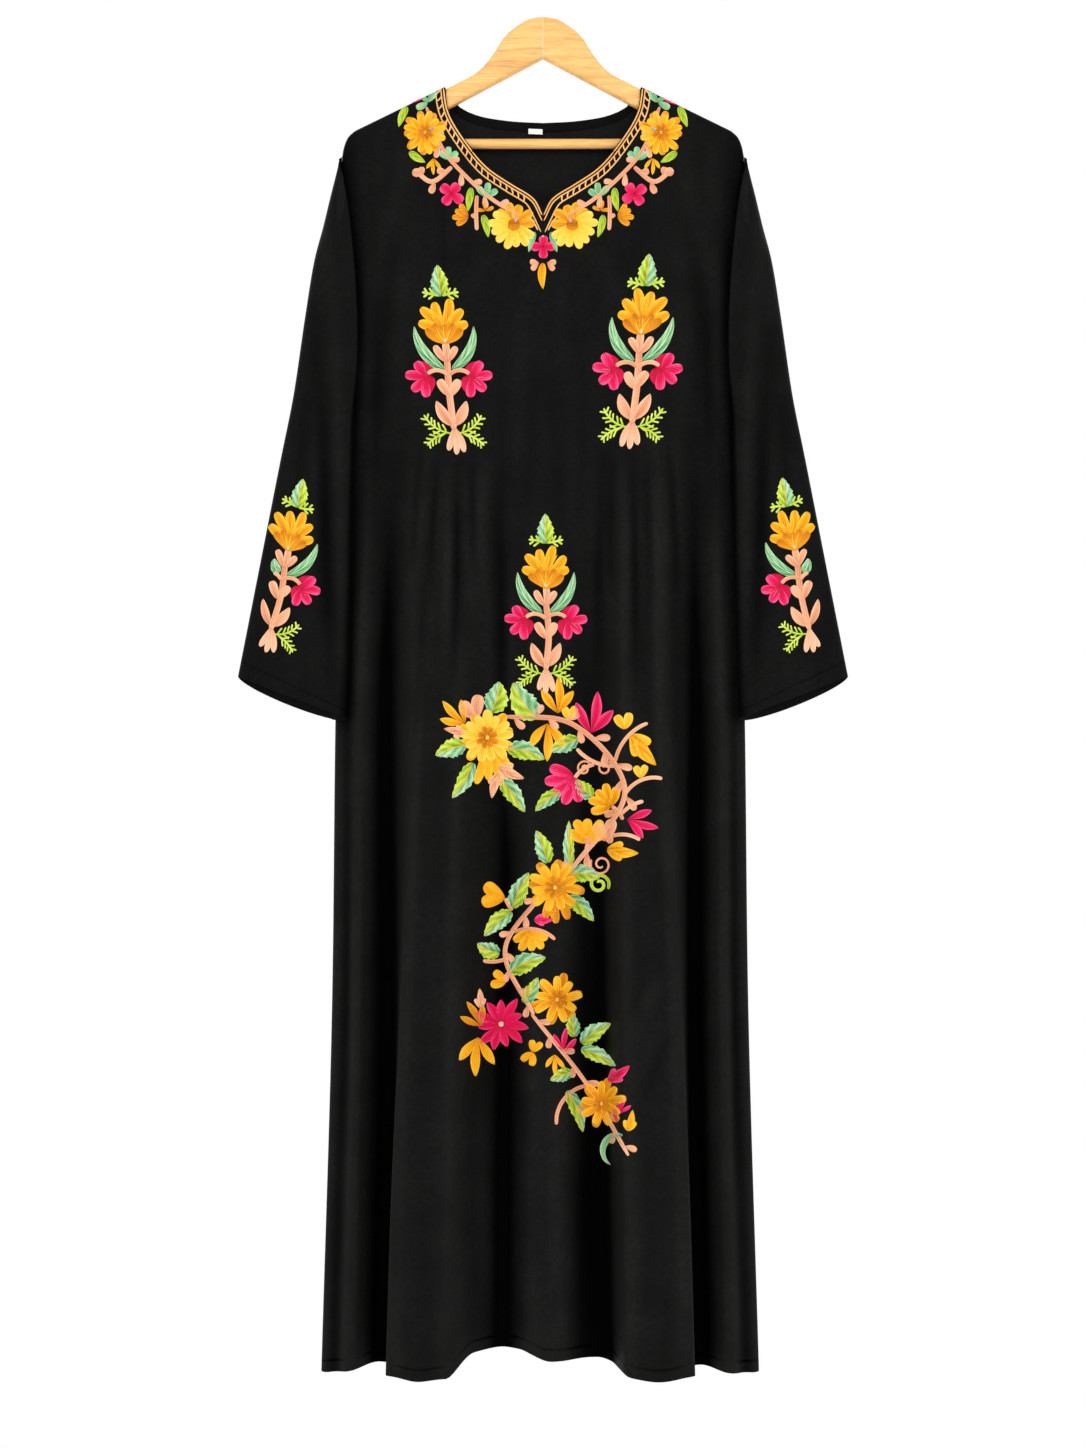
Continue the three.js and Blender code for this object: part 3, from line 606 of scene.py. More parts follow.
def speckle(add, place, scale, detail, distortion=0.0):
    inputs = {"Vector": place, "Scale": scale, "Detail": detail, "Distortion": distortion}
    return add("TexNoise", inputs).outputs["Fac"]


def thread_wave(add, place, direction, scale, distortion, detail=2.0):
    inputs = {"Vector": place, "Scale": scale, "Distortion": distortion, "Detail": detail}
    return add("TexWave", inputs, bands_direction=direction).outputs["Fac"]


def bump(add, height, strength, distance, normal=None):
    inputs = {"Height": height, "Strength": strength, "Distance": distance}
    if normal:
        inputs["Normal"] = normal
    return add("Bump", inputs).outputs[0]


def surface(add, inputs):
    shader = add("BsdfPrincipled", inputs)
    add("OutputMaterial", {"Surface": shader.outputs[0]})


def colour_ramp(add, factor, stops):
    node = add("ValToRGB", {"Fac": factor})
    ramp_data = node.color_ramp
    while len(ramp_data.elements) < len(stops):
        ramp_data.elements.new(1)
    for element, (place, colour) in zip(ramp_data.elements, stops):
        element.position = place
        element.color = (*colour, 1)
    return node.outputs["Color"]


def crepe_material(name, shaded):
    """Fine black crepe: a soft sheen over a pebbled plain weave, and faint slubs."""
    material, add = new_material(name)
    # Painted shade: read from the mesh, or an even share of its level on the facing.
    if shaded:
        painted_shade = add("Attribute", attribute_name="painted_shade").outputs["Fac"]
    else:
        painted_shade = maths(add, "MULTIPLY", PAINTED_SHADE_LEVEL, FACING_SHARE)
    place = add("TexCoord").outputs["Object"]
    pebble = speckle(add, place, 1500.0, 3.0)
    weft = thread_wave(add, place, "Z", 420.0, 1.2, 1.0)
    warp = thread_wave(add, place, "X", 420.0, 1.2, 1.0)
    weave = maths(add, "MULTIPLY", weft, warp)
    cloudy = speckle(add, place, 24.0, 4.0)
    slub = speckle(add, place, 240.0, 2.0)
    tone = maths(add, "MULTIPLY", cloudy, slub)
    colour = colour_ramp(add, tone, [(0.1, (0.0094, 0.0092, 0.0088)), (0.5, (0.0166, 0.0163, 0.0157))])
    # The painted shade darkens the colour, the gloss and the sheen together.
    colour = add("VectorMath", {0: colour, "Scale": painted_shade}, operation="SCALE").outputs[0]
    gloss = maths(add, "MULTIPLY", painted_shade, 0.04)
    sheen = maths(add, "MULTIPLY", painted_shade, 0.018)
    rough = add("MapRange", {"Value": pebble, "To Min": 0.46, "To Max": 0.62}).outputs[0]
    relief = bump(add, weave, 0.25, 0.0002)
    relief = bump(add, pebble, 0.3, 0.0003, relief)
    surface(add, {
        "Base Color": colour, "Roughness": rough, "Normal": relief, "Specular IOR Level": gloss,
        "Sheen Weight": sheen, "Sheen Roughness": 0.4, "Sheen Tint": (1.0, 0.98, 0.95, 1.0),
    })
    return material


crepe = crepe_material("crepe", True)
PANELS = {
    "front": {"facing": -1, "neck": FRONT_NECK, "hem": FRONT_HEM, "folds": FRONT_FOLDS,
              "creases": FRONT_CREASES, "columns": 170, "rows": 210},
    "back": {"facing": 1, "neck": BACK_NECK, "hem": BACK_HEM, "folds": BACK_FOLDS,
             "creases": BACK_CREASES, "columns": 140, "rows": 150},
}
cloth = {}
grids = {}
for name, panel in PANELS.items():
    outer = panel_grid(panel, panel["columns"], panel["rows"])
    if panel["facing"] > 0:
        outer = outer[:, ::-1]
    inner = outer - WALL * grid_normals(outer, False)
    inner[..., 1] = panel["facing"] * np.maximum(SEAM / 2, panel["facing"] * inner[..., 1])
    shade = panel_shade(panel, outer)
    cloth[name] = wall(name + "_cloth", outer, inner, False, shade)
    grids[name] = outer, False
for name, side in (("sleeve_left", -1), ("sleeve_right", 1)):
    outer, shade = sleeve_grid(side, SLEEVE_SIDES)
    inner = outer - WALL * grid_normals(outer, True)
    cloth[name] = wall(name + "_cloth", outer, inner, True, shade)
    grids[name] = outer, True

for name, piece in cloth.items():
    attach(piece, "root")
    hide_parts(name)


# Embroidery: every motif is built of ribbons of chain stitch, laid out in the plane of the hanger
# as seen from the front, then set on the cloth behind each place.
ROW_WIDTH = 2.1
ROW_HEIGHT = 0.75
EDGE_SINK = 0.3
STEP = 2.2
SLIGHT_BEND = 0.05
BORDER = 1.4
# Painted shade at a ribbon's edge, where it sinks into the cloth beside its neighbours.
EDGE_GROOVE_SHADE = 0.55
# ROW_SHADE paints shade in the grooves between stitch rows and light on their crowns.
ROW_SHADE, ROW_VARIETY, VEIN_SHADE = 0.3, 0.11, 0.2
TOOTH_TOP, TOOTH_DEPTH = 1.08, 0.26
LEAF_TEETH = 6
ROW_POINTS = np.array([0.0, 0.34, 0.66])
FORMS = {
    "petal": (1.55, 2.5, 2.0),
    "blade": (0.95, 1.7, 1.25),
    "leaf": (0.72, 1.75, 1.3),
    "oval": (1.0, 2.0, 2.0),
    "stem": (1.0, 9.0, 4.0),
    "drop": (1.9, 2.2, 1.6),
    "spear": (1.3, 1.7, 1.2),
}
THREADS = {
    "yellow": ((198, 104, 2), (246, 168, 14), (255, 206, 60)),
    "amber": ((150, 74, 4), (220, 134, 12), (248, 180, 40)),
    "cream": ((226, 144, 14), (250, 196, 52), (255, 224, 108)),
    "pink": ((184, 2, 48), (226, 12, 82), (248, 98, 150)),
    "peach": ((188, 106, 72), (234, 164, 124), (253, 206, 170)),
    "mint": ((58, 116, 72), (134, 190, 134), (210, 236, 192)),
    "lime": ((104, 132, 22), (176, 202, 52), (226, 236, 118)),
    "gold": ((190, 116, 58), (245, 186, 112), (255, 218, 158)),
    "white": ((150, 142, 134), (212, 206, 202), (246, 244, 242)),
}
stitching = {}


def toward(angle):
    return np.array([math.cos(angle), math.sin(angle)])


def arc(base, heading, bend, length):
    """Points of an arc that sets out towards heading and turns by bend degrees in all, left if positive."""
    points = [np.array(base, float)]
    for i in range(6):
        angle = math.radians(heading + bend * (i + 0.5) / 6)
        points.append(points[-1] + length / 6 * toward(angle))
    return points


class Spot:
    """A place on the garment, seen from the front, that motifs are drawn around."""

    def __init__(self, area, x=0, z=0, turn=0, size=1, flip=1, lean=0):
        self.area, self.x, self.z, self.turn = area, x, z, turn
        self.size, self.flip, self.lean = size, flip, lean

    def place(self, points):
        p = np.array(points, float)
        x = (p[:, 0] + self.lean * p[:, 1]) * self.flip * self.size
        z = p[:, 1] * self.size
        c, s = math.cos(math.radians(self.turn)), math.sin(math.radians(self.turn))
        return np.stack([self.x + x * c - z * s, self.z + x * s + z * c], axis=1)

    def at(self, x, z, turn=0, flip=1):
        """A spot inside this one."""
        px, pz = self.place([(x, z)])[0]
        return Spot(self.area, px, pz, self.turn + self.flip * turn, self.size, self.flip * flip)

    def ribbon(self, thread, path, width, form="petal", tones=(0.35, 0.6, 0.12), side=0, teeth=0,
               veins=0, lift=0.0):
        """A band of chain-stitch rows along a path. tones are the shades at its base, tip and edges,
        and side picks one half of it."""
        line = self.place(path)
        if len(line) == 2:
            across = np.array([line[0, 1] - line[1, 1], line[1, 0] - line[0, 0]])
            middle = line.mean(axis=0) + across * SLIGHT_BEND * math.sin(line.sum() * 1.7)
            line = np.array([line[0], middle, line[1]])
        line = smooth_line(line, 60)
        length = arc_length(line)[-1]
        width = width * self.size
        count = int(np.clip(length / STEP, 6, 64)) + 1
        count = max(count, 4 * teeth + 1)
        even = np.linspace(0, 1, count)
        u = mix(even, 0.5 - 0.5 * np.cos(even * np.pi), 0.35 if form == "stem" or teeth else 0.75)
        spine = spaced(line, u)
        along = np.gradient(spine, axis=0)
        along /= np.maximum(1e-9, np.linalg.norm(along, axis=1, keepdims=True))
        shift, blunt, power = FORMS[form]
        half = width / 2 * (1 - np.abs(2 * u**shift - 1) ** blunt).clip(0) ** (1 / power)
        if teeth:
            half = half * (TOOTH_TOP - TOOTH_DEPTH * ((u * teeth) % 1))
        span = width / 2 if side else width
        rows = max(1, round(span / ROW_WIDTH))
        t = np.append((np.arange(rows)[:, None] + ROW_POINTS).ravel(), rows)
        low, high = (-1, 1) if side == 0 else (min(side, 0), max(side, 0))
        v = mix(low, high, t / rows)
        normal = np.stack([-along[:, 1], along[:, 0]], axis=1) * self.flip
        xz = spine[:, None] + normal[:, None] * (half[:, None] * v)[..., None]
        row_round = np.abs(np.sin(np.pi * t)) ** 0.6
        border = np.sqrt(np.clip((1 - np.abs(v)) * span / BORDER, 0, 1))
        ends = np.sqrt(np.clip(np.minimum(u, 1 - u) * length / BORDER, 0, 1))
        height = ROW_HEIGHT * (0.55 + 0.45 * row_round) * border * ends[:, None]
        height = height + (lift + EDGE_SINK) * (border * ends[:, None]) - EDGE_SINK
        seed = 12.9898 * (len(stitching.setdefault(self.area, [])) + 1)
        vary = ROW_VARIETY * np.sin(seed + 7.3 * np.floor(t - 1e-6))
        # Painted shade in the grooves between stitch rows and painted light on their crowns, over the
        # thread's own tones.
        shade = mix(tones[0], tones[1], u)[:, None] + tones[2] * v**2 + vary + ROW_SHADE * (row_round - 0.75)
        # Painted shade along the ribbon's edge, in the groove where it meets the cloth and its neighbours.
        shade = shade - EDGE_GROOVE_SHADE * min(1, span / 8) * (1 - border) ** 2
        if veins:
            shade = shade + VEIN_SHADE * np.sin(2 * np.pi * (u[:, None] * veins - np.abs(v) * 1.3))
        grid = np.broadcast_to(u[:, None] * length, shade.shape), np.broadcast_to(t, shade.shape)
        faces = grid_faces(len(u), len(t), False)
        if self.flip < 0:
            faces = faces[:, ::-1]
        stitching[self.area].append({
            "thread": thread, "xz": xz.reshape(-1, 2), "height": height.ravel(),
            "shade": np.clip(shade, 0, 1).ravel(), "uv": np.stack(grid, axis=-1).reshape(-1, 2),
            "faces": faces,
        })

    def fan(self, thread, base, count, spread, reach, width, turn=0, middle=1.0, uneven=0.06, form="petal",
            **looks):
        """Petals in equal parts of an angle, about straight up before their turn. A spread of 360 is a
        ring. middle is how much longer the middle ones are, uneven how much they all differ."""
        for i in range(count):
            share = (i + 0.5) / count - 0.5
            angle = math.radians(90 + turn - spread * share)
            length = reach * mix(1, middle, 1 - 4 * share**2) * (1 + uneven * math.sin(2.4 * i + base[0]))
            tip = base[0] + length * math.cos(angle), base[1] + length * math.sin(angle)
            self.ribbon(thread, [base, tip], width, form, **looks)

    def dot(self, thread, x, z, radius, lift=0.5, tone=0.5):
        path = [(x - radius, z), (x + radius, z)]
        self.ribbon(thread, path, 2 * radius, "oval", (tone, tone, 0.1), lift=lift)

    def twig(self, thread, path, width=2.6, lift=0.0, tones=(0.4, 0.65, 0.1)):
        self.ribbon(thread, path, width, "stem", tones, lift=lift)

    def leaf(self, base, tip, width, bend=0, first="mint", second="lime"):
        """A serrated leaf with halves of two colours, dark and light veins and a yellow midrib."""
        base, tip = np.array(base, float), np.array(tip, float)
        across = np.array([base[1] - tip[1], tip[0] - base[0]])
        across /= np.linalg.norm(across)
        path = [base, (base + tip) / 2 + across * bend, tip]
        self.ribbon(first, path, width, "leaf", (0.35, 0.7, 0.2), side=1, teeth=LEAF_TEETH, veins=3)
        self.ribbon(second, path, width, "leaf", (0.25, 0.65, 0.3), side=-1, teeth=LEAF_TEETH, veins=3)
        inset = mix(base, tip, 0.06), (base + tip) / 2 + across * bend, mix(base, tip, 0.9)
        self.ribbon("cream", inset, 1.7, "blade", (0.3, 0.2, 0), lift=0.45)

    def frond(self, thread, path, count, reach, width=2.7):
        """A fine twig with pairs of shorter ones that point forward."""
        self.twig(thread, path, width, tones=(0.5, 0.85, 0.1))
        line = smooth_line(path, 41)
        for i in range(1, count + 1):
            at = 40 * i // (count + 1)
            ahead = line[min(at + 3, 40)] - line[at]
            heading = math.atan2(ahead[1], ahead[0])
            for turn in (-0.85, 0.85):
                tip = line[at] + reach * (1 - 0.35 * i / count) * toward(heading + turn)
                self.twig(thread, [line[at], tip], 0.92 * width, tones=(0.5, 0.85, 0.1))

    def shoots(self, path, count, reach, width, first=1, width_of_stem=5.6):
        """A stem with drop-shaped shoots on its two sides in turn."""
        self.twig("peach", path, width_of_stem)
        line = smooth_line(path, 61)
        for i in range(count):
            at = int(60 * (i + 0.5) / count)
            ahead = line[min(at + 3, 60)] - line[max(at - 3, 0)]
            heading = math.atan2(ahead[1], ahead[0]) + 0.75 * (first if i % 2 else -first)
            length = reach * (1 + 0.16 * math.sin(3.1 * i + path[0][0]))
            tip = line[at] + length * toward(heading)
            self.ribbon("peach", [line[at], tip], width, "drop")

    def curl(self, thread, reach, width):
        """A thin tendril that winds in on itself."""
        turns = np.linspace(0, 1.5 * math.tau, 12)
        radius = reach * np.linspace(1, 0.22, 12)
        self.twig(thread, np.stack([radius * np.cos(turns), radius * np.sin(turns)], axis=1), width)

    def heart(self, thread, reach):
        self.fan(thread, (0, 0), 2, 96, reach, 0.58 * reach)

    def tulip(self, thread, reach):
        """Three pointed petals, the middle one longer."""
        self.fan(thread, (0, 0), 3, 105, 0.66 * reach, 0.28 * reach, middle=1.55, form="spear",
                 tones=(0.25, 0.65, 0.35))

    def cup(self, thread, reach, count=5, spread=150):
        """A small half-open flower."""
        self.fan(thread, (0, 0), count, spread, 0.85 * reach, 0.42 * reach, middle=1.2,
                 tones=(0.25, 0.65, 0.35))

    def bud(self, thread, reach):
        """A closed flower with two short petals at its foot."""
        self.fan(thread, (0, 0), 2, 110, 0.55 * reach, 0.24 * reach, tones=(0.5, 0.75, 0.3))
        path = [(0, 0), (0.04 * reach, reach / 2), (0, reach)]
        self.ribbon(thread, path, 0.38 * reach, "leaf", (0.3, 0.6, 0.35), veins=2, lift=0.2)

    def bell(self, reach):
        """A half-open flower, crimson behind, with a fan of lighter petals and two fine lines."""
        self.fan("pink", (0, 0), 3, 205, 0.92 * reach, 0.5 * reach, form="leaf", middle=0.7,
                 tones=(0.06, 0.34, 0.12))
        self.fan("pink", (0, 0.24 * reach), 4, 205, 0.74 * reach, 0.43 * reach, middle=1.1, lift=0.25,
                 tones=(0.12, 0.7, 0.45))
        self.fan("white", (0, 0.3 * reach), 2, 90, 0.5 * reach, 1.3, form="blade", lift=0.5,
                 tones=(0.1, 0.1, 0))

    def round_flower(self, reach, petals=12, outer="yellow", inner="cream", eye="amber"):
        """An open flower of two rings of petals, with a ribbed eye and a light middle."""
        self.fan(outer, (0, 0), petals - 3, 360, 1.1 * reach, 0.42 * reach, turn=14, tones=(0.2, 0.6, 0.35))
        self.fan(inner, (0, 0), petals, 360, reach, 0.37 * reach, uneven=0.09, lift=0.2,
                 tones=(0.1, 0.72, 0.35))
        self.fan(eye, (0, 0), 8, 360, 0.46 * reach, 0.28 * reach, tones=(0.2, 0.55, 0.2), lift=0.5)
        self.dot("cream", 0, 0, 0.1 * reach, lift=0.85)

    def fan_flower(self):
        """A many-petalled flower seen from the side, in its ribbed cup."""
        self.fan("yellow", (0, 124), 6, 160, 26, 11.4, middle=1.42, tones=(0.15, 0.6, 0.38))
        self.fan("cream", (0, 130), 4, 84, 22, 3.2, middle=1.2, form="blade", lift=0.25,
                 tones=(0.25, 0.6, 0.1))
        self.fan("amber", (0, 112), 5, 122, 27.5, 9.4, middle=0.86, form="drop", lift=0.55,
                 tones=(0.7, 0.28, 0.3))
        self.fan("cream", (0, 113), 3, 72, 21, 2.4, form="blade", tones=(0.5, 0.3, 0.1), lift=0.85)
        self.dot("white", 0, 117, 2.2, lift=1.2)

    def bouquet(self, sides=(-1, 1)):
        """The upright flower of the chest, skirt and sleeves, on its feet at the origin. sides are
        those with a long leaf, a bell and ferns: on a sleeve only the inner one has them."""
        self.leaf((0, 163), (-0.6, 197), 19.5)
        self.fan_flower()
        self.fan("peach", (0, 93), 3, 100, 21, 8.4, middle=1.1, tones=(0.35, 0.7, 0.3), lift=0.3)
        self.twig("peach", [(0, 100), (0, 22)], 7.6, lift=0.1)
        for side in (-1, 1):
            whole = side in sides
            self.frond("lime", [(side, 164), (side * 20, 168)], 2, 10.5, 3.2)
            path = arc((side * 4, 86), 90 - 62 * side, 62 * side, 56 if whole else 18)
            self.ribbon("mint", path, 12.2, "leaf", (0.2, 0.55, 0.4), veins=3)
            self.ribbon("mint", path, 2.0, "blade", (0.95, 0.9, 0), lift=0.4)
            if whole:
                self.at(side * 19, 79, turn=-side * 108, flip=side).bell(26)
                self.frond("lime", arc((side * 3, 18), 90 - 84 * side, 60 * side, 36), 5, 11)
                self.frond("lime", arc((side * 10, 18), 90 - 104 * side, -38 * side, 25), 4, 10.5)
            arm = arc((0, 79), 90 - 36 * side, -100 * side, 26)
            self.twig("peach", arm if whole else arm[:4], 5, lift=0.5)
            self.ribbon("peach", [(0, 57), (side * 11, 75.4)], 10.4, tones=(0.35, 0.65, 0.35), lift=0.15)
            blade = arc((side, 26), 90 - 44 * side, 30 * side, 31)
            self.ribbon("peach", blade, 12.4 if whole else 10, "blade", (0.3, 0.65, 0.35), lift=0.15)
        self.fan("peach", (0, 27), 3, 50, 30.5, 7.6, turn=180, form="drop", lift=0.2,
                 tones=(0.45, 0.7, 0.3))


STEM_TWIGS = table(
    "x z heading bend length",
    (72, 122, 80, -60, 54),
    (72, 118, 180, -50, 44),
    (82, 90, 60, -75, 44),
    (78, 70, 50, -40, 27),
    (68, 48, 20, -55, 31),
    (52, 120, 190, 50, 26),
    (44, 28, 105, -40, 14),
    (80, 64, 105, 50, 19),
    (-30, -26, 140, -40, 15),
    (-36, -74, 205, -40, 25),
    (-30, -48, 25, -70, 46),
    (44, -201, 190, 85, 55),
)
STEM_LEAVES = table(
    "x z to_x to_z width bend lime_first",
    (-52, 172, -44, 203, 25, -2, 0),
    (-6, 166, -30, 202, 27, 3, 1),
    (-36, 136, 2, 125, 20, 3, 0),
    (-42, 106, -18, 72, 18, 1, 0),
    (-70, 122, -91, 86, 17, 2, 0),
    (-77, 140, -108, 129, 20, -1, 0),
    (35, 146, 6, 133, 18, 0, 0),
    (18, 93, -8, 73, 15, -2, 0),
    (50, 87, 32, 105, 17, 1, 0),
    (5, 21, -7, 54, 18, -1, 0),
    (27, 16, 26, 64, 12, 1, 0),
    (27, 10, 57, 6, 19, 3, 0),
    (25, -12, 51, -37, 17, 2, 0),
    (-31, -24, -14, 12, 19, 1, 0),
    (-31, -27, -59, -52, 18, -2, 0),
    (-43, -69, -66, -59, 18, 2, 1),
    (-34, -88, 3, -73, 21, 3, 0),
    (-19, -119, -5, -93, 16, -1, 1),
    (31, -153, 29, -128, 15, 0, 1),
    (38, -159, 68, -139, 18, 2, 0),
    (38, -164, 73, -182, 16, 2, 0),
    (29, -187, 7, -196, 14, 0, 0),
    (24, -206, 40, -248, 15, 3, 0),
)
def flowers(draw, thread, *rows):
    """Flowers of a kind and thread: where each starts, the way it points from straight up, its size."""
    return draw, thread, table("x z turn reach", *rows)


STEM_FLOWERS = (
    flowers(Spot.heart, "peach", (-66, 166, 20, 23), (64, 43, 8, 22)),
    flowers(Spot.heart, "cream", (27, 164, 0, 15), (82, 155, 10, 17), (98, 106, 2, 14)),
    flowers(Spot.heart, "yellow", (-37, -98, 72, 16), (-38, -14, 78, 24), (-10, -168, 150, 14),
            (-10, -168, -20, 13)),
    flowers(Spot.tulip, "yellow", (-78, 161, 45, 30), (15, 171, 0, 34), (4, 161, 180, 36),
            (-65, -153, 176, 37), (12, -170, 180, 20)),
    flowers(Spot.tulip, "pink", (48, 151, -9, 40), (84, 65, -105, 31), (20, -168, -8, 24),
            (77, -229, -20, 17)),
    flowers(Spot.tulip, "amber", (-62, -142, 30, 27)),
    flowers(Spot.cup, "yellow", (68, 78, 44, 23), (45, 41, 0, 26), (-13, -46, 184, 22)),
    flowers(Spot.cup, "pink", (31, 108, 130, 29)),
    flowers(Spot.bud, "yellow", (88, 150, -141, 40), (64, 35, -97, 32), (85, -247, -12, 22)),
    flowers(Spot.bud, "peach", (-78, 150, 75, 22), (-45, 118, -115, 29), (-44, 112, 164, 27),
            (-63, -124, 2, 20)),
    flowers(Spot.bud, "pink", (-9, -36, -87, 20), (65, -197, -54, 27), (72, -223, -170, 15)),
)


def winding_stem(v):
    """The stem on the skirt: its course, then what grows from it."""
    for row in rows_of(STEM_LEAVES):
        first, second = ("lime", "mint") if row["lime_first"] else ("mint", "lime")
        v.leaf((row["x"], row["z"]), (row["to_x"], row["to_z"]), row["width"], row["bend"], first, second)
    v.shoots([(-38, 168), (30, 160), (82, 94), (28, 14)], 15, 17, 8)
    v.shoots([(0, -8), (-38, -66), (-9, -131)], 7, 14, 7, width_of_stem=5)
    v.shoots([(-12, -129), (44, -200), (86, -272)], 9, 14, 7, first=-1, width_of_stem=4.8)
    for row in rows_of(STEM_TWIGS):
        v.twig("peach", arc((row["x"], row["z"]), row["heading"], row["bend"], row["length"]), 4.4)
    for x, turn in ((62, 0), (41, 10)):
        v.at(x, 116, turn=turn).curl("peach", 8, 2.8)
    v.at(58, 20, turn=150).curl("peach", 11, 2.8)
    v.at(56, 0, turn=-30).curl("lime", 11, 3.8)
    for draw, thread, places in STEM_FLOWERS:
        for row in rows_of(places):
            draw(v.at(row["x"], row["z"], turn=row["turn"]), thread, row["reach"])
    head = v.at(-56, 147)
    head.fan("yellow", (0, 0), 4, 62, 46, 10, turn=190, tones=(0.15, 0.7, 0.35))
    head.round_flower(26, petals=13)
    second = v.at(12, -3)
    second.fan("amber", (0, 0), 3, 60, 35, 10, turn=182, tones=(0.3, 0.55, 0.3))
    second.round_flower(26, petals=11, outer="amber", inner="yellow")
    v.at(14, -115).round_flower(24, petals=9, outer="amber", inner="yellow")
    v.at(59, -219).round_flower(23, petals=9, outer="amber", inner="yellow")
    star = v.at(-42, -140)
    star.fan("pink", (0, 0), 11, 360, 27, 10, uneven=0.14, form="spear", tones=(0.15, 0.5, 0.35))
    star.dot("peach", 0, 0, 3, lift=0.8, tone=0.7)
    v.ribbon("mint", arc((80, -251), 165, 165, 46), 7.4, "leaf", (0.3, 0.7, 0.3))


NECK_LIME = table(
    "x z turn reach",
    (-144, -94, 158, 24),
    (-142, -142, -124, 21),
    (-76, -180, 172, 26),
    (-64, -209, -166, 25),
)


def neck_half(v):
    """The garland of one half of the neck, from the shoulder to the point of the V."""
    v.ribbon("pink", [(-148, -93), (-126, -83)], 7.4)
    v.fan("mint", (-122, -90), 3, 230, 17, 8, turn=40, middle=0.75)
    for row in rows_of(NECK_LIME):
        shoot = v.at(row["x"], row["z"], turn=row["turn"])
        shoot.ribbon("lime", [(0, 0), (0, row["reach"])], 9, "leaf", veins=2)
    v.shoots([(-124, -94), (-106, -140), (-82, -168), (-52, -194), (-24, -210)], 9, 14, 7, width_of_stem=4.8)
    v.shoots([(-96, -158), (-118, -174), (-134, -164)], 3, 13, 8, width_of_stem=5.4)
    v.dot("peach", -134, -164, 5)
    v.shoots(arc((-70, -188), 265, 10, 38), 1, 8, 6, width_of_stem=5)
    flower = v.at(-125, -122)
    flower.round_flower(22, petals=12, outer="amber", inner="yellow")
    flower.ribbon("white", [(5, 2), (10, 5)], 4, "oval", (0.35, 0.1, 0), lift=1.1)
    v.at(-116, -149, turn=180).tulip("yellow", 17)
    v.at(-100, -151).fan("mint", (0, 0), 3, 150, 14, 7.4)
    v.at(-60, -190, turn=-8).fan("mint", (0, 0), 3, 150, 15, 7.6)
    v.at(-97, -187).fan("pink", (0, 0), 4, 360, 14, 11.6, turn=8, tones=(0.2, 0.65, 0.35))
    v.at(-79, -211, turn=78).cup("amber", 17, 4, 120)
    v.at(-61, -205, turn=10).cup("amber", 11, 3, 220)
    lower = v.at(-31, -219)
    lower.fan("amber", (0, 0), 5, 170, 23, 11, turn=-20, tones=(0.45, 0.8, 0.35))
    lower.fan("cream", (0, 0), 8, 200, 26.5, 10, turn=150, tones=(0.2, 0.75, 0.3), lift=0.15)
    lower.dot("amber", 0, 0, 7, lift=0.7, tone=0.35)
    lower.dot("white", 2, 4, 2.2, lift=1.2, tone=0.2)
    v.ribbon("mint", [(-8.4, -227), (-15, -249)], 7.4, "leaf")
    v.fan("peach", (-4, -260), 2, 100, 11, 7, turn=110, form="drop")
    v.twig("gold", [(-20, -211), (-13, -213), (-5, -226)], 1.9)


def neck_point(v):
    """The small flower and drop under the point of the V."""
    v.fan("pink", (0, -243), 4, 360, 12.6, 10.4, turn=45, tones=(0.2, 0.65, 0.35))
    v.dot("white", 0, -232, 1.5, tone=0.4)
    v.ribbon("yellow", [(0, -260), (0, -288)], 9.4, "leaf", (0.3, 0.6, 0.4))


# Lines of the neck braid: how far each runs from the edge of the neck.
BRAID_LINES = (1.7, 4.6, 10.4)
BRAID_STOPS = (-5, -7, -16)
BRAID_ENDS = ((-0.6, -210), (-0.7, -216), (-1.8, -228))
BRAID_LINK = 7.6
BRAID_SLANT = 4.4
BRAID_THREAD = 1.9
CLOTH_NEARER = 1.0045


def braid(v):
    """Gold braid along one half of the front neck: three lines, and slanted links between two."""
    neck = smooth_line(np.stack([-FRONT_NECK["x"], FRONT_NECK["z"]], axis=1), 160)
    along = np.gradient(neck, axis=0)
    along /= np.linalg.norm(along, axis=1, keepdims=True)
    away = np.stack([along[:, 1], -along[:, 0]], axis=1)
    length = arc_length(neck)

    def beside(offset):
        line = neck + away * offset
        return np.stack([line[:, 0], line[:, 1] - VIEW_LEVEL], axis=1) * CLOTH_NEARER + (0, VIEW_LEVEL)

    for offset, stop, end in zip(BRAID_LINES, BRAID_STOPS, BRAID_ENDS):
        line = beside(offset)
        line = np.vstack([line[line[:, 0] < stop], [end]])
        half = len(line) // 2
        v.ribbon("gold", line[:half + 1:6], BRAID_THREAD, "stem", (0.5, 0.5, 0.2))
        rest = np.vstack([line[half - 6:-1:6], line[-1:]])
        v.ribbon("gold", rest, BRAID_THREAD, "stem", (0.5, 0.5, 0.2))
    inner, outer = beside(BRAID_LINES[1]), beside(BRAID_LINES[2])
    for start in np.arange(4, length[-1] - 24, BRAID_LINK):
        first, last = np.searchsorted(length, start), np.searchsorted(length, start + BRAID_SLANT)
        middle = (inner[first] + outer[last]) / 2 + along[first] * 0.8
        v.ribbon("gold", [inner[first], middle, outer[last]], BRAID_THREAD, "stem", (0.4, 0.6, 0.2), lift=0.2)


def straight_behind(tree, x, z, from_behind=False):
    """The cloth behind a place of the hanger's plane, on the line of sight: its point and normal."""
    eye = Vector((0, VIEW_DISTANCE * (1 if from_behind else -1), VIEW_LEVEL))
    return tree.ray_cast(eye, (Vector((x, 0, z)) - eye).normalized())


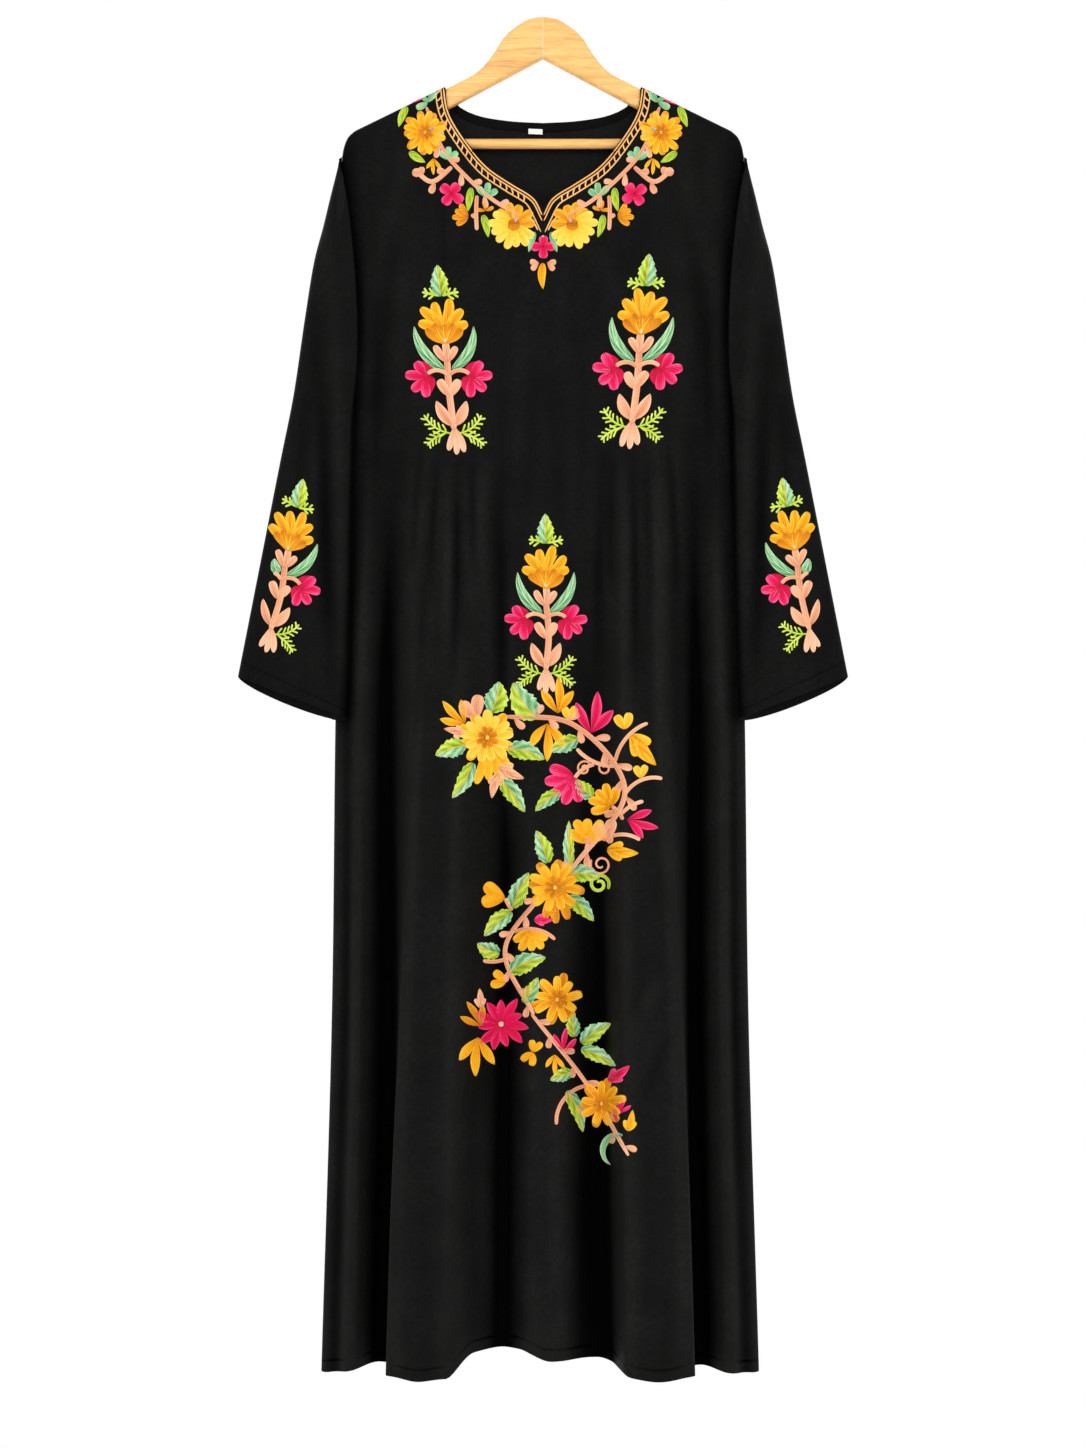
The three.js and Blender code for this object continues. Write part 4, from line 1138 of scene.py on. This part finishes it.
def set_on_cloth(tree, xz, height, inward):
    """Points on the cloth for places of the hanger's plane. A place past the edge of the cloth
    goes round it, onto the back; inward is the way from there to the cloth."""
    points = np.empty((len(xz), 3))
    for i, (x, z) in enumerate(xz):
        hit = straight_behind(tree, x, z)
        if hit[0] is None:
            past = 1
            step = np.array([-math.copysign(1, x), 0]) if inward == "sideways" else np.array([0, -1])
            while past < 90 and straight_behind(tree, *((x, z) + step * past))[0] is None:
                past += 1
            hit = straight_behind(tree, *((x, z) + step * (2 * past + 1)), from_behind=True)
            if hit[0] is None:
                hit = straight_behind(tree, *((x, z) + step * (past + 2)))
        spot, normal = hit[0], hit[1]
        on_back = spot.y > 0 and normal.y > 0.2
        if normal.y > 0 and not on_back:
            normal = -normal
        points[i] = spot + normal * height[i]
    return points


def linear(colour):
    c = np.array(colour, float) / 255
    return tuple(np.where(c < 0.04045, c / 12.92, ((c + 0.055) / 1.055) ** 2.4))


def thread_material(name, tones):
    """Embroidery thread in rows of chain stitch, in three shades of one colour."""
    material, add = new_material("thread_" + name)
    shade = add("Attribute", attribute_name="shade").outputs["Fac"]
    layout = add("SeparateXYZ", {0: add("UVMap", uv_map="rows").outputs[0]})
    place = add("TexCoord").outputs["Object"]
    fluff = speckle(add, place, 900.0, 2.0)
    mottled = maths(add, "MULTIPLY_ADD", fluff, 0.22, -0.11)
    tone = maths(add, "ADD", shade, mottled)
    dark, middle, light = (linear(c) for c in tones)
    colour = colour_ramp(add, tone, [(0.05, dark), (0.5, middle), (0.95, light)])
    across = maths(add, "FRACT", layout.outputs[1])
    across = maths(add, "SUBTRACT", across, 0.5)
    across = maths(add, "ABSOLUTE", across)
    loops = maths(add, "MULTIPLY_ADD", layout.outputs[0], 0.42, 0.0)
    loops = maths(add, "MULTIPLY_ADD", across, 1.3, loops)
    loops = maths(add, "MULTIPLY", loops, 2 * math.pi)
    loops = maths(add, "SINE", loops)
    relief = bump(add, loops, 0.55, 0.00025)
    surface(add, {
        "Base Color": colour, "Roughness": 0.55, "Normal": relief, "Specular IOR Level": 0.16,
        "Sheen Weight": 0.03, "Sheen Roughness": 0.4,
    })
    return material


def cloth_tree(names):
    """The outer faces of some cloth pieces, to set stitching on."""
    points, faces, start = [], [], 0
    for name in names:
        grid, closed = grids[name]
        points.append(grid.reshape(-1, 3))
        faces.append(grid_faces(*grid.shape[:2], closed) + start)
        start += len(points[-1])
    return BVHTree.FromPolygons(np.vstack(points).tolist(), np.vstack(faces).tolist())


def embroider(area, patches, tree, inward):
    """One object for all the stitching of an area."""
    used = [name for name in THREADS if any(p["thread"] == name for p in patches)]
    points, faces, shade, uv, index, start = [], [], [], [], [], 0
    for p in patches:
        points.append(set_on_cloth(tree, p["xz"], p["height"], inward))
        faces.append(p["faces"] + start)
        shade.append(p["shade"])
        uv.append(p["uv"])
        index.append(np.full(len(p["faces"]), used.index(p["thread"])))
        start += len(p["xz"])
    faces, uv = np.vstack(faces), np.vstack(uv)
    obj = mesh_object(area, np.vstack(points) * MM, faces, [thread_materials[name] for name in used])
    mesh = obj.data
    tones = mesh.attributes.new("shade", "FLOAT", "POINT")
    tones.data.foreach_set("value", np.concatenate(shade).astype(np.float32))
    layer = mesh.uv_layers.new(name="rows")
    loops = np.empty(len(mesh.loops), np.int32)
    mesh.loops.foreach_get("vertex_index", loops)
    layer.data.foreach_set("uv", uv[loops].astype(np.float32).ravel())
    mesh.polygons.foreach_set("material_index", np.concatenate(index).astype(np.int32))
    mesh.update()
    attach(obj, "root")
    return obj


def wood_material(name, shift, tilt):
    """Varnished blond wood: long grain along the arm, with pores and slow changes of tone."""
    material, add = new_material(name)
    place = add("TexCoord").outputs["Object"]
    turned = add("Mapping", {"Vector": place, "Location": shift, "Rotation": (0, tilt, 0),
                                       "Scale": (9.0, 60.0, 130.0)}).outputs[0]
    grain = speckle(add, turned, 1.0, 6.0, 0.6)
    fine = add("Mapping", {"Vector": place, "Location": shift, "Rotation": (0, tilt, 0),
                                     "Scale": (60.0, 700.0, 1500.0)}).outputs[0]
    pores = speckle(add, fine, 1.0, 3.0)
    both = maths(add, "MULTIPLY_ADD", grain, pores, 0.0)
    colour = colour_ramp(add, both, [
        (0.12, (0.56, 0.27, 0.07)), (0.24, (0.80, 0.43, 0.12)), (0.4, (0.92, 0.54, 0.18)),
    ])
    relief = bump(add, pores, 0.12, 0.0002)
    surface(add, {
        "Base Color": colour, "Roughness": 0.38, "Normal": relief, "Coat Weight": 0.1, "Coat Roughness": 0.2,
    })
    return material


def tape_material():
    """White woven label tape: close ribs across, with small shadows between threads."""
    material, add = new_material("tape")
    place = add("TexCoord").outputs["Object"]
    ribs = thread_wave(add, place, "X", 900.0, 0.4)
    weft = thread_wave(add, place, "Z", 700.0, 0.4)
    weave = maths(add, "MULTIPLY", ribs, weft)
    colour = colour_ramp(add, weave, [(0.0, (0.72, 0.72, 0.70)), (0.6, (0.92, 0.92, 0.90))])
    relief = bump(add, weave, 0.5, 0.0001)
    surface(add, {"Base Color": colour, "Roughness": 0.7, "Normal": relief})
    return material


def dress(node, material):
    """Gives a CAD node that stays a better material."""
    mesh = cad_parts[node].data
    mesh.materials.clear()
    mesh.materials.append(material)


thread_materials = {name: thread_material(name, tones) for name, tones in THREADS.items()}
Spot("embroidery_chest_left", -92, -459, lean=-0.1).bouquet()
Spot("embroidery_chest_right", 92, -453, lean=-0.1, flip=-1, size=1.03).bouquet()
Spot("embroidery_centre", 3, -713, size=0.95).bouquet()
Spot("embroidery_sleeve_left", -293, -669, turn=-18, lean=-0.1, size=0.93).bouquet(sides=(1,))
Spot("embroidery_sleeve_right", 286, -669, turn=16, lean=-0.1, flip=-1, size=0.93).bouquet(sides=(1,))
winding_stem(Spot("embroidery_stem", 0, -919, size=1.06))
for flip in (1, -1):
    neck_half(Spot("embroidery_neck", flip=flip))
    braid(Spot("embroidery_neck", flip=flip))
neck_point(Spot("embroidery_neck"))

tree = cloth_tree(["front", "back", "sleeve_left", "sleeve_right"])
for area, patches in stitching.items():
    embroider(area, patches, tree, "sideways" if "sleeve" in area else "down")

dress("back_neck_facing", crepe_material("crepe_facing", False))
dress("label", tape_material())
dress("hanger_left", wood_material("wood_left", (0.3, 0.1, 0.2), -0.44))
dress("hanger_right", wood_material("wood_right", (0.9, 0.4, 0.7), 0.44))
dress("hanger_bar", wood_material("wood_bar", (0.5, 0.7, 0.1), 0.0))

# Camera, stage and light
camera = bpy.data.objects.new("camera", bpy.data.cameras.new("camera"))
camera.location = (0, -VIEW_DISTANCE * MM, VIEW_LEVEL * MM)
camera.rotation_euler = (math.pi / 2, 0, 0)
camera.data.sensor_width = 36
camera.data.lens = 18 / math.tan(math.radians(VIEW_HEIGHT_DEG / 2))
bpy.context.scene.collection.objects.link(camera)
bpy.context.scene.camera = camera
bpy.context.scene.view_settings.view_transform = "Standard"

FLOOR_Z = -1.62
STAGE_RADIUS = 8.0
STAGE_BEND = 0.8
STAGE_SIDES = 64
AIM = (0, 0, -0.7)


def floor_and_wall():
    """A pale floor that curves up into a pale wall, all round the garment."""
    profile = [(0.0, FLOOR_Z), (STAGE_RADIUS, FLOOR_Z)]
    for step in range(1, 9):
        turn = step / 8 * math.pi / 2
        radius = STAGE_RADIUS + STAGE_BEND * math.sin(turn)
        profile.append((radius, FLOOR_Z + STAGE_BEND * (1 - math.cos(turn))))
    profile.append((STAGE_RADIUS + STAGE_BEND, STAGE_RADIUS))
    points = []
    for radius, level in profile:
        for i in range(STAGE_SIDES):
            angle = i / STAGE_SIDES * 2 * math.pi
            points.append((radius * math.cos(angle), radius * math.sin(angle), level))
    faces = grid_faces(len(profile), STAGE_SIDES, True)[:, ::-1]
    material, add = new_material("stage_paint")
    paint = add("Emission", {"Color": (1, 1, 1, 1), "Strength": 1.0})
    add("OutputMaterial", {"Surface": paint.outputs[0]})
    stage = mesh_object("stage", np.array(points), faces, [material])
    stage.visible_shadow = False


def soft_light(name, place, size, power):
    light = bpy.data.lights.new(name, "AREA")
    light.shape = "RECTANGLE"
    light.size, light.size_y = size
    light.energy = power
    lamp = bpy.data.objects.new(name, light)
    lamp.location = place
    lamp.rotation_euler = (Vector(AIM) - Vector(place)).to_track_quat("-Z", "Y").to_euler()
    bpy.context.scene.collection.objects.link(lamp)


floor_and_wall()
soft_light("key_left", (-1.0, -2.5, 0.5), (0.8, 1.4), 20)
soft_light("key_right", (1.1, -2.5, 0.3), (0.8, 1.4), 16)
soft_light("back_left", (-1.6, 1.6, 0.2), (0.8, 1.6), 8)
soft_light("back_right", (1.6, 1.6, 0.2), (0.8, 1.6), 8)
world = bpy.data.worlds.new("studio")
world.use_nodes = True
world.node_tree.nodes["Background"].inputs["Color"].default_value = (1, 1, 1, 1)
world.node_tree.nodes["Background"].inputs["Strength"].default_value = 0.9
bpy.context.scene.world = world
